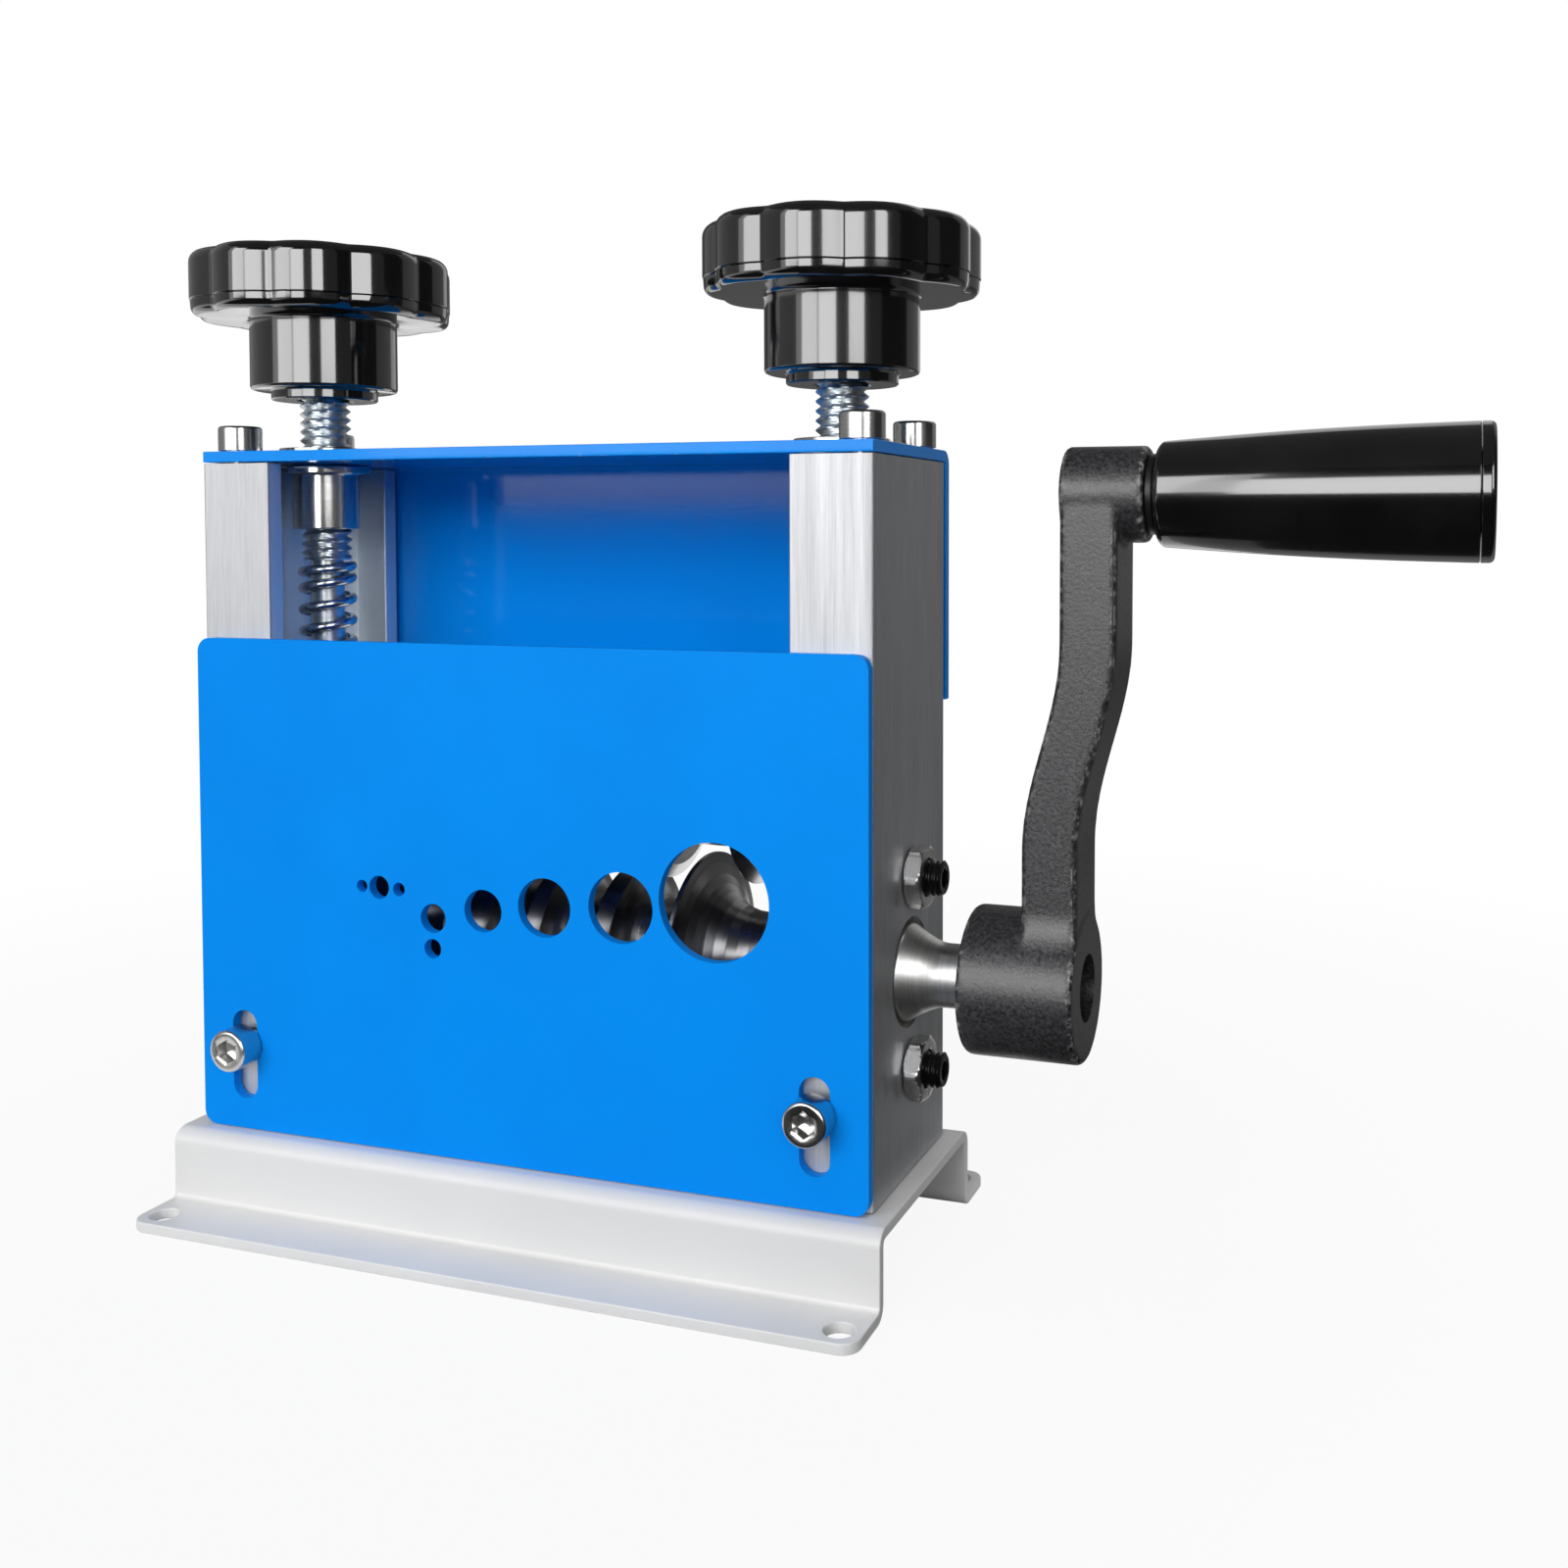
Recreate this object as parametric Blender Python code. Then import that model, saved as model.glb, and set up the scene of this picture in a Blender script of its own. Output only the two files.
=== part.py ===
"""Hand crank wire stripper, built as separate pieces in metres.

X runs to the crank, Y runs away from the guide holes and Z is up. The origin
lies on the bench under the middle of the base. A wire enters through a hole
of the front panel, runs between the grooved feed roller and a round blade,
and leaves at the back. The crank turns the feed roller; the two knobs press
the blades down through springs.
"""
from math import ceil, cos, pi, radians, sin, sqrt, tau

import bmesh
import bpy
from mathutils import Matrix, Vector

MM = 0.001
X_AXIS = Vector((1, 0, 0))
Y_AXIS = Vector((0, 1, 0))
Z_AXIS = Vector((0, 0, 1))

# Fits and fineness
GAP = 0.3 * MM
OVERRUN = 1.0 * MM
EDGE = 0.5 * MM
FINE = 24
ROUND = 16
SMALL = 10
CORNER_STEPS = 3
SMOOTH_ANGLE = radians(38)

# Base: a folded hat section
BASE_OVERHANG = 4.45 * MM
BASE_HEIGHT = 19.0 * MM
BASE_WEB_MARGIN = 5.6 * MM
BASE_FLANGE = 14.4 * MM
BASE_SHEET = 2.5 * MM
BASE_BEND = 3.6 * MM
BASE_CORNER = 4.0 * MM
BASE_HOLE = 6.5 * MM
BASE_HOLE_INSET = 5.4 * MM

# Side channels, standing on the base with their open sides facing each other
CHANNEL_DEPTH = 48.4 * MM
CHANNEL_THICKNESS = 18.9 * MM
CHANNEL_WALL = 4.7 * MM
CHANNEL_ARM = 4.8 * MM
PORT_ACROSS = 5.3 * MM

# Cover: an inverted L of sheet
COVER_SHEET = 2.6 * MM
COVER_BEND = 3.4 * MM
COVER_BACK_PLAY = 1.2 * MM
COVER_DROP = 58.8 * MM

# Front guide panel
PANEL_SHEET = 2.5 * MM
PANEL_HEIGHT = 117.7 * MM
PANEL_CORNER = 3.3 * MM
# From left to right, each wire hole with a groove and a blade behind it:
# (bore, height over the feed shaft, land of the roller up to the next groove)
GROOVE_HOLES = [
    (5.4 * MM, 16.0 * MM, 7.9 * MM),
    (6.7 * MM, 9.9 * MM, 5.0 * MM),
    (9.7 * MM, 12.6 * MM, 4.3 * MM),
    (13.3 * MM, 14.5 * MM, 4.55 * MM),
    (15.8 * MM, 15.9 * MM, 1.5 * MM),
    (26.0 * MM, 18.7 * MM, 1.7 * MM),
]
# Small holes beside them: (number of the hole beside it, place from that
# hole, height over the feed shaft, bore)
EXTRA_HOLES = [
    (0, -4.7 * MM, 16.0 * MM, 2.9 * MM),
    (0, 5.4 * MM, 15.9 * MM, 3.2 * MM),
    (1, -0.2 * MM, 2.9 * MM, 4.5 * MM),
]
SLOT_WIDTH = 7.0 * MM
SLOT_LENGTH = 21.3 * MM
SLOT_INSET = 12.2 * MM
SLOT_OVER_BASE = 18.2 * MM
PANEL_SCREW_OVER_BASE = 20.6 * MM

# Cap screws that hold the frame together
SCREW = 6.0 * MM
SCREW_HEAD = 10.0 * MM
SCREW_HEAD_HEIGHT = 6.0 * MM
SCREW_REACH = 14.0 * MM
SOCKET = 5.0 * MM
SOCKET_DEPTH = 3.0 * MM
CORNER_SCREW_INSET_X = 5.0 * MM
CORNER_SCREW_INSET_Y = 7.0 * MM

# Feed shaft and its grooved roller
FEED_OVER_BASE = 45.3 * MM
SHAFT = 16.0 * MM
SHAFT_NECK = 14.0 * MM
SHAFT_COLLAR = 21.6 * MM
SHAFT_COLLAR_LENGTH = 2.2 * MM
SHAFT_FLARE_LENGTH = 8.3 * MM
FLARE_STEPS = 4
SHAFT_INTO_HUB = 20.0 * MM
SHAFT_HOLE = 24.5 * MM
ROLLER_LEFT_LAND = 23.85 * MM
ROLLER_LEFT_PLAY = 4.9 * MM
ROLLER = 38.6 * MM
ROLLER_LIP = 1.2 * MM
ROLLER_CLEARANCE = 0.7 * MM
LEAST_GROOVE = 6.7 * MM
GROOVE_STEPS = 6
SHAFT_RING = 23.0 * MM
SHAFT_RING_THICKNESS = 1.6 * MM
RING_SEAT_DEPTH = 0.9 * MM
GRUB = 5.0 * MM
ROLLER_GRUB_INSET = 8.0 * MM

# Bolted flange that carries the crank end of the shaft
FLANGE_STUD_PITCH = 43.0 * MM
FLANGE_EAR_REACH = 6.5 * MM
FLANGE_PLATE = 5.0 * MM
STUD = 8.0 * MM
STUD_STANDS_OUT = 8.0 * MM
STUD_SOCKET = 4.0 * MM
NUT_ACROSS_FLATS = 13.0 * MM
NUT_THICKNESS = 4.0 * MM
BUSH_WALL = 2.0 * MM
BUSH_FLANGE_WIDTH = 1.5 * MM
BUSH_FLANGE_THICKNESS = 2.0 * MM

# Crank
HUB = 32.4 * MM
HUB_LENGTH = 25.2 * MM
HUB_STANDS_OFF = 15.0 * MM
CRANK_RADIUS = 106.0 * MM
ARM_WIDTH = 20.0 * MM
ARM_THICKNESS = 12.2 * MM
ARM_OFFSET = 8.0 * MM
ARM_BEND_START = 30.0 * MM
ARM_BEND_END = 75.0 * MM
ARM_ROUNDING = 1.6 * MM
ARM_STEPS = 8
ARM_SINK = 1.2 * MM
BOSS = 20.4 * MM
BOSS_LENGTH = 17.5 * MM
BOSS_PROUD = 0.2 * MM
CRANK_GRUB_REACH = 9.0 * MM

# Turning grip
SPINDLE = 10.0 * MM
SPINDLE_THREAD = 14.0 * MM
SPINDLE_HEAD = 16.0 * MM
SPINDLE_HEAD_THICKNESS = 5.0 * MM
GRIP_WASHER = 17.0 * MM
GRIP_WASHER_THICKNESS = 1.4 * MM
GRIP_LENGTH = 63.5 * MM
GRIP_SMALL = 22.2 * MM
GRIP_LARGE = 28.0 * MM
GRIP_SWELL = 0.5 * MM
GRIP_ROUNDING = 1.2 * MM
GRIP_COUNTERBORE = 9.5 * MM
GRIP_CAP = 2.5 * MM
CAP_PLUG = 2.5 * MM
GRIP_STEPS = 4

# Pressure screws, their bushes and knobs
SCREW_LINE_INSET = 2.7 * MM
PRESSURE_SCREW = 12.0 * MM
SHOULDER_LIFT = 7.7 * MM
ROD = 8.0 * MM
NUT_BUSH = 16.3 * MM
NUT_BUSH_DROP = 15.6 * MM
NUT_BUSH_FLANGE = 22.2 * MM
NUT_BUSH_FLANGE_THICKNESS = 2.0 * MM
NUT_BUSH_NECK = 15.4 * MM
TOP_WASHER = 21.8 * MM
TOP_WASHER_THICKNESS = 1.2 * MM
KNOB_OVER_COVER = 13.5 * MM
KNOB_COLLAR = 25.2 * MM
KNOB_COLLAR_LENGTH = 2.4 * MM
KNOB_HUB = 34.8 * MM
KNOB_HUB_LENGTH = 17.2 * MM
KNOB_RIM = 62.0 * MM
KNOB_RIM_THICKNESS = 15.6 * MM
KNOB_PARTING = 3.6 * MM
KNOB_ROUNDING = 3.0 * MM
KNOB_LOBES = 10
KNOB_LOBE_POINTS = 4
KNOB_LOBE_DEPTH = 2.6 * MM
KNOB_GRIP_OF_SCREW = 20.0 * MM
LEFT_KNOB_TURNED = radians(14.8)
RIGHT_KNOB_TURNED = radians(22)

# Springs
SPRING_WIRE = 2.2 * MM
SPRING_LENGTH = 28.8 * MM
SPRING_OUTSIDE = 14.1 * MM
SPRING_PITCH = 5.34 * MM
SPRING_END_PITCH = 2.9 * MM
CURL_POINTS = 9

# Slider blocks, which hold the blade shaft
BLOCK_TOP = 23.0 * MM
BLOCK_OVER_EAR = 4.7 * MM
BLOCK_BOTTOM = 11.0 * MM
BLOCK_ROOF = 4.2 * MM
BLOCK_FACE_WALL = 1.5 * MM
ROD_RING = 12.0 * MM
ROD_RING_THICKNESS = 1.2 * MM
ROD_TIP = 1.2 * MM
RING_ROOM = 11.0 * MM

# Blade shaft
BLADE = 42.0 * MM
BLADE_BORE = 22.0 * MM
BLADE_THICKNESS = 3.0 * MM
BLADE_BEVEL = 3.0 * MM
BLADE_TIP = 0.2 * MM
BLADE_DIP = 1.6 * MM
SPACER = 26.0 * MM
JOURNAL = 12.0 * MM
JOURNAL_LENGTH = 13.4 * MM
BLADE_NUT_ACROSS_FLATS = 25.0 * MM
BLADE_NUT_THICKNESS = 8.0 * MM

# Across: the roller's grooves set its length, and so the frame's width
GROOVE_WIDTHS = [max(bore, LEAST_GROOVE) for bore, _, _ in GROOVE_HOLES]
ROLLER_LENGTH = ROLLER_LEFT_LAND + sum(GROOVE_WIDTHS) + sum(land for _, _, land in GROOVE_HOLES)
MOUTH_WIDTH = ROLLER_LEFT_PLAY + ROLLER_LENGTH + GAP + SHAFT_RING_THICKNESS
FRAME_WIDTH = MOUTH_WIDTH + 2 * CHANNEL_THICKNESS
HALF_FRAME = FRAME_WIDTH / 2
CHANNEL_MOUTH = MOUTH_WIDTH / 2
CHANNEL_FLOOR = HALF_FRAME - CHANNEL_WALL
SLIDE_MOUTH = CHANNEL_MOUTH + GAP
SLIDE_FLOOR = CHANNEL_FLOOR - GAP
PORT_X = CHANNEL_FLOOR - PORT_ACROSS
SLIDE_SHOULDER = PORT_X - GAP
SCREW_LINE = CHANNEL_MOUTH + SCREW_LINE_INSET
BLOCK_FACE = SCREW_LINE - ROD_RING / 2 - GAP - BLOCK_FACE_WALL
SLOT_X = HALF_FRAME - SLOT_INSET
CORNER_SCREW_X = HALF_FRAME - CORNER_SCREW_INSET_X
ROLLER_LEFT_END = ROLLER_LEFT_PLAY - CHANNEL_MOUTH
RING_SEAT_LOW = CHANNEL_MOUTH - SHAFT_RING_THICKNESS
BLADE_PLACES = [ROLLER_LEFT_END + ROLLER_LEFT_LAND + sum(GROOVE_WIDTHS[:number]) + width / 2 +
                sum(land for _, _, land in GROOVE_HOLES[:number])
                for number, width in enumerate(GROOVE_WIDTHS)]

# From front to back
ROLLER_FLANGE = CHANNEL_DEPTH - 2 * ROLLER_CLEARANCE
POCKET_HALF = CHANNEL_DEPTH / 2 - CHANNEL_ARM
BUSH_OUTSIDE = SHAFT + 2 * GAP + 2 * BUSH_WALL
PORT_Y = BUSH_OUTSIDE / 2 + BUSH_FLANGE_WIDTH + GAP
FLANGE_BOSS = 2 * (PORT_Y - 2 * GAP)
PANEL_BACK = -CHANNEL_DEPTH / 2 - GAP
PANEL_FRONT = PANEL_BACK - PANEL_SHEET
BASE_CENTRE_Y = (PANEL_FRONT + CHANNEL_DEPTH / 2) / 2
BASE_WEB_DEPTH = CHANNEL_DEPTH / 2 - PANEL_FRONT + 2 * BASE_WEB_MARGIN
CORNER_SCREW_Y = CHANNEL_DEPTH / 2 - CORNER_SCREW_INSET_Y
BASE_LENGTH = FRAME_WIDTH + 2 * BASE_OVERHANG

# Upward, from the bench to the knobs
CHANNEL_BOTTOM = BASE_HEIGHT + GAP
PANEL_BOTTOM = BASE_HEIGHT + GAP
SLOT_HEIGHT = BASE_HEIGHT + SLOT_OVER_BASE
PANEL_SCREW_HEIGHT = BASE_HEIGHT + PANEL_SCREW_OVER_BASE
FEED_HEIGHT = BASE_HEIGHT + FEED_OVER_BASE
FLANGE_EAR = FLANGE_STUD_PITCH / 2 + FLANGE_EAR_REACH
BLADE_AXIS_HEIGHT = FEED_HEIGHT + ROLLER / 2 + BLADE / 2 - BLADE_DIP
BLOCK_TOP_HEIGHT = BLADE_AXIS_HEIGHT + BLOCK_TOP
RING_TOP = BLOCK_TOP_HEIGHT - BLOCK_ROOF - GAP
SCREW_SHOULDER_HEIGHT = BLOCK_TOP_HEIGHT + 2 * GAP + SPRING_LENGTH
CHANNEL_TOP = SCREW_SHOULDER_HEIGHT + SHOULDER_LIFT + NUT_BUSH_DROP
COVER_UNDERSIDE = CHANNEL_TOP + GAP
COVER_TOP = COVER_UNDERSIDE + COVER_SHEET
KNOB_HEIGHT = COVER_TOP + KNOB_OVER_COVER

# Shaft, bushes, crank and grip
COLLAR_START = CHANNEL_FLOOR + BUSH_FLANGE_THICKNESS + GAP
HUB_START = HALF_FRAME + HUB_STANDS_OFF
HUB_END = HUB_START + HUB_LENGTH
ARM_LOW_X = HUB_END - ARM_THICKNESS / 2 - GAP
GRIP_HEIGHT = FEED_HEIGHT + CRANK_RADIUS
BOSS_START = ARM_LOW_X + ARM_OFFSET - ARM_THICKNESS / 2 - BOSS_PROUD
BOSS_END = BOSS_START + BOSS_LENGTH
GRIP_START = BOSS_END + GRIP_WASHER_THICKNESS + 2 * GAP
ARBOR = BLADE_BORE - 2 * GAP


def clear_scene():
    for old in list(bpy.data.objects):
        bpy.data.objects.remove(old, do_unlink=True)


def material(name, colour, roughness, metallic=0.0):
    made = bpy.data.materials.new(name)
    made.use_nodes = True
    shader = made.node_tree.nodes["Principled BSDF"]
    shader.inputs["Base Color"].default_value = (*colour, 1.0)
    shader.inputs["Roughness"].default_value = roughness
    shader.inputs["Metallic"].default_value = metallic
    return made


def turned_to(direction):
    """Rotation that takes a piece's own +Z to the given direction."""
    return Z_AXIS.rotation_difference(Vector(direction)).to_euler()


def add(name, mesh, look, place=(0, 0, 0), direction=Z_AXIS, smooth=True):
    if smooth:
        mesh.shade_smooth()
        mesh.set_sharp_from_angle(angle=SMOOTH_ANGLE)
    piece = bpy.data.objects.new(name, mesh)
    piece.location = place
    piece.rotation_euler = turned_to(direction)
    bpy.context.scene.collection.objects.link(piece)
    if look:
        piece.data.materials.append(look.copy())
        piece.data.materials[0].name = name
    return piece


def closed_mesh(name, points, faces):
    """A mesh from points and faces, every face turned outward."""
    shape = bmesh.new()
    corners = [shape.verts.new(point) for point in points]
    for face in faces:
        shape.faces.new([corners[index] for index in face])
    bmesh.ops.recalc_face_normals(shape, faces=shape.faces)
    mesh = bpy.data.meshes.new(name)
    shape.to_mesh(mesh)
    shape.free()
    return mesh


def lathe_mesh(name, section, count, waist=None):
    """Turn a half section of (radius, height) points about Z.

    A section that starts and ends on the axis gives a solid, and any other
    is closed into a ring. waist(angle, radius, height) may reshape a radius.
    """
    reshape = waist or (lambda angle, radius, height: radius)
    points, rings = [], []
    for radius, height in section:
        steps = 1 if radius == 0 else count
        rings.append(list(range(len(points), len(points) + steps)))
        for step in range(steps):
            angle = tau * step / count
            reach = reshape(angle, radius, height) if radius else 0
            points.append((reach * cos(angle), reach * sin(angle), height))
    solid = section[0][0] == 0 and section[-1][0] == 0
    pairs = list(zip(rings, rings[1:]))
    if not solid:
        pairs.append((rings[-1], rings[0]))
    faces = []
    for low, high in pairs:
        for step in range(count):
            after = (step + 1) % count
            corners = [low[step % len(low)], low[after % len(low)],
                       high[after % len(high)], high[step % len(high)]]
            face = list(dict.fromkeys(corners))
            if len(face) > 2:
                faces.append(face)
    return closed_mesh(name, points, faces)


def turned(name, section, look, place=(0, 0, 0), direction=Z_AXIS, count=ROUND, waist=None):
    return add(name, lathe_mesh(name, section, count, waist), look, place, direction)


def rod_section(radius, low, high, edge=EDGE):
    """Half section of a plain rod with broken edges."""
    return [(0, low), (radius - edge, low), (radius, low + edge),
            (radius, high - edge), (radius - edge, high), (0, high)]


def ring_section(inner, outer, low, high):
    return [(inner, low), (outer, low), (outer, high), (inner, high)]


def prism_mesh(name, outline, low, high):
    """Raise a flat outline of (x, y) points from low to high."""
    count = len(outline)
    points = [(x, y, low) for x, y in outline] + [(x, y, high) for x, y in outline]
    faces = [list(range(count)), list(range(count, 2 * count))]
    for step in range(count):
        after = (step + 1) % count
        faces.append([step, after, count + after, count + step])
    return closed_mesh(name, points, faces)


def prism(name, outline, low, high, look, place=(0, 0, 0), direction=Z_AXIS, smooth=False):
    return add(name, prism_mesh(name, outline, low, high), look, place, direction, smooth)


def arc(centre_x, centre_y, radius, start, end, steps):
    """Points along an arc, in turns of a circle."""
    turns = [start + (end - start) * step / steps for step in range(steps + 1)]
    return [(centre_x + radius * cos(tau * turn), centre_y + radius * sin(tau * turn))
            for turn in turns]


def rounded_rectangle(half_x, half_y, radius, steps=CORNER_STEPS, centre=(0, 0)):
    outline = []
    signs = [(1, 1), (-1, 1), (-1, -1), (1, -1)]
    for quarter, (sign_x, sign_y) in enumerate(signs):
        outline += arc(centre[0] + sign_x * (half_x - radius), centre[1] + sign_y * (half_y - radius),
                       radius, quarter / 4, (quarter + 1) / 4, steps)
    return outline


def hexagon(across_flats):
    """Six corners with the first at +X, so two flats face +Y and -Y."""
    reach = across_flats / sqrt(3)
    return [(reach * cos(tau * step / 6), reach * sin(tau * step / 6)) for step in range(6)]


def bent_strip(path, thickness, bend, steps=CORNER_STEPS):
    """Outline of a folded sheet: path is its outer face, bend its outer radius.

    Each turn of the path keeps the sheet on one side, to the right of travel.
    """
    outer, inner = [], []
    last = len(path) - 1
    for index, corner in enumerate(path):
        here = Vector(corner)
        if index in (0, last):
            other = Vector(path[1] if index == 0 else path[-2])
            along = (other - here if index == 0 else here - other).normalized()
            side = Vector((along.y, -along.x))
            outer.append(tuple(here))
            inner.append(tuple(here + side * thickness))
            continue
        into = (here - Vector(path[index - 1])).normalized()
        out = (Vector(path[index + 1]) - here).normalized()
        left_turn = into.x * out.y - into.y * out.x > 0
        side_in = Vector((into.y, -into.x))
        side_out = Vector((out.y, -out.x))
        near, far = (bend - thickness, bend) if left_turn else (bend, bend - thickness)
        hub_side = -1 if left_turn else 1
        hub = here + hub_side * near * (side_in + side_out)
        for step in range(steps + 1):
            share = step / steps
            spoke = (side_in * cos(share * pi / 2) + side_out * sin(share * pi / 2)) * -hub_side
            outer.append(tuple(hub + spoke * near))
            inner.append(tuple(hub + spoke * far))
    return outer + inner[::-1]


def drill(diameter, low, high, place, direction=Z_AXIS, count=ROUND):
    section = [(0, low), (diameter / 2, low), (diameter / 2, high), (0, high)]
    return turned("drill", section, None, place, direction, count)


def mill(outline, low, high, place=(0, 0, 0), direction=Z_AXIS):
    return prism("mill", outline, low, high, None, place, direction)


def block(low, high):
    """Cutting block between two opposite corners."""
    outline = [(low[0], low[1]), (high[0], low[1]), (high[0], high[1]), (low[0], high[1])]
    return mill(outline, low[2], high[2])


def combine(target, tools, operation="DIFFERENCE"):
    for tool in tools:
        change = target.modifiers.new(operation.title(), "BOOLEAN")
        change.operation = operation
        change.solver = "EXACT"
        change.object = tool
        tool.hide_render = True
        tool.display_type = "WIRE"
    return target


def joint_frame(name, place, pieces, parent=None):
    """An empty on a joint's axis that carries the pieces which move there."""
    frame = bpy.data.objects.new(name, None)
    frame.location = place
    bpy.context.scene.collection.objects.link(frame)
    bpy.context.view_layer.update()
    for piece in pieces:
        piece.parent = frame
        piece.matrix_parent_inverse = frame.matrix_world.inverted()
    if parent:
        frame.parent = parent
        frame.matrix_parent_inverse = parent.matrix_world.inverted()
    return frame


def corner_places():
    for side, x in (("left", -CORNER_SCREW_X), ("right", CORNER_SCREW_X)):
        for end, y in (("front", -CORNER_SCREW_Y), ("rear", CORNER_SCREW_Y)):
            yield side, end, x, y


def cap_screw(name, seat, direction, length, look):
    """Socket head screw whose head rests on seat and whose shank runs back."""
    head = SCREW_HEAD / 2
    section = [(0, -length), (SCREW / 2 - EDGE, -length), (SCREW / 2, EDGE - length),
               (SCREW / 2, 0), (head, 0), (head, SCREW_HEAD_HEIGHT - EDGE),
               (head - EDGE, SCREW_HEAD_HEIGHT), (0, SCREW_HEAD_HEIGHT)]
    screw = turned(name, section, look, seat, direction, SMALL)
    socket = mill(hexagon(SOCKET), SCREW_HEAD_HEIGHT - SOCKET_DEPTH,
                  SCREW_HEAD_HEIGHT + OVERRUN, seat, direction)
    return combine(screw, [socket])


def grub_screw(name, tip, direction, length, diameter, socket, look):
    screw = turned(name, rod_section(diameter / 2, 0, length), look, tip, direction, SMALL)
    recess = mill(hexagon(socket), length - socket, length + OVERRUN, tip, direction)
    return combine(screw, [recess])


def make_base(look):
    """Folded hat section with four holes for bolting the machine down."""
    edge = BASE_WEB_DEPTH / 2 + BASE_FLANGE
    web = BASE_WEB_DEPTH / 2
    path = [(-edge, BASE_SHEET), (-web, BASE_SHEET), (-web, BASE_HEIGHT),
            (web, BASE_HEIGHT), (web, BASE_SHEET), (edge, BASE_SHEET)]
    outline = bent_strip(path, BASE_SHEET, BASE_BEND)
    half = BASE_LENGTH / 2
    # The outline is drawn in (y, z) and raised along x.
    mesh = prism_mesh("base_channel", outline, -half, half)
    mesh.transform(Matrix(((0, 0, 1, 0), (1, 0, 0, 0), (0, 1, 0, 0), (0, 0, 0, 1))))
    base = add("base_channel", mesh, look, (0, BASE_CENTRE_Y, 0))
    footprint = mill(rounded_rectangle(half, edge, BASE_CORNER), -OVERRUN, BASE_HEIGHT + OVERRUN,
                     (0, BASE_CENTRE_Y, 0))
    combine(base, [footprint], "INTERSECT")
    cuts = []
    for side in (-1, 1):
        for end in (-1, 1):
            place = (side * (half - BASE_HOLE_INSET),
                     BASE_CENTRE_Y + end * (edge - BASE_HOLE_INSET), 0)
            cuts.append(drill(BASE_HOLE, -OVERRUN, BASE_SHEET + OVERRUN, place))
    for _, _, x, y in corner_places():
        cuts.append(drill(SCREW + 2 * GAP, BASE_HEIGHT - BASE_SHEET - OVERRUN,
                          BASE_HEIGHT + OVERRUN, (x, y, 0), count=SMALL))
    return combine(base, cuts)


def channel_outline(side):
    """Plan of a channel: outer wall, two arms and two thickened corners."""
    half = CHANNEL_DEPTH / 2
    plan = [(CHANNEL_MOUTH, -half), (HALF_FRAME, -half), (HALF_FRAME, half), (CHANNEL_MOUTH, half),
            (CHANNEL_MOUTH, POCKET_HALF), (PORT_X, POCKET_HALF), (PORT_X, PORT_Y),
            (CHANNEL_FLOOR, PORT_Y), (CHANNEL_FLOOR, -PORT_Y), (PORT_X, -PORT_Y),
            (PORT_X, -POCKET_HALF), (CHANNEL_MOUTH, -POCKET_HALF)]
    return [(side * x, y) for x, y in plan]


def make_channel(name, side, wall_holes, look):
    channel = prism(name, channel_outline(side), CHANNEL_BOTTOM, CHANNEL_TOP, look)
    cuts = []
    for _, _, x, y in corner_places():
        if x * side > 0:
            for low, high in ((CHANNEL_BOTTOM - OVERRUN, CHANNEL_BOTTOM + SCREW_REACH),
                              (CHANNEL_TOP - SCREW_REACH, CHANNEL_TOP + OVERRUN)):
                cuts.append(drill(SCREW + 2 * GAP, low, high, (x, y, 0), count=SMALL))
    cuts.append(drill(SCREW + 2 * GAP, -CHANNEL_DEPTH / 2 - OVERRUN, OVERRUN - POCKET_HALF,
                      (side * SLOT_X, 0, PANEL_SCREW_HEIGHT), Y_AXIS, SMALL))
    for diameter, height in wall_holes:
        low, high = sorted((side * (CHANNEL_FLOOR - OVERRUN), side * (HALF_FRAME + OVERRUN)))
        cuts.append(drill(diameter, low, high, (0, 0, height), X_AXIS))
    return combine(channel, cuts)


def make_cover(look):
    """Sheet over the channels with a flange down the back."""
    back = CHANNEL_DEPTH / 2 + COVER_BACK_PLAY + COVER_SHEET
    path = [(-CHANNEL_DEPTH / 2, COVER_TOP), (back, COVER_TOP), (back, COVER_TOP - COVER_DROP)]
    outline = bent_strip(path, COVER_SHEET, COVER_BEND)
    mesh = prism_mesh("top_cover", outline, -HALF_FRAME, HALF_FRAME)
    mesh.transform(Matrix(((0, 0, 1, 0), (1, 0, 0, 0), (0, 1, 0, 0), (0, 0, 0, 1))))
    cover = add("top_cover", mesh, look)
    low, high = COVER_UNDERSIDE - OVERRUN, COVER_TOP + OVERRUN
    cuts = [drill(SCREW + 2 * GAP, low, high, (x, y, 0), count=SMALL) for _, _, x, y in corner_places()]
    cuts += [drill(NUT_BUSH_NECK + 2 * GAP, low, high, (side * SCREW_LINE, 0, 0)) for side in (-1, 1)]
    return combine(cover, cuts)


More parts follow.
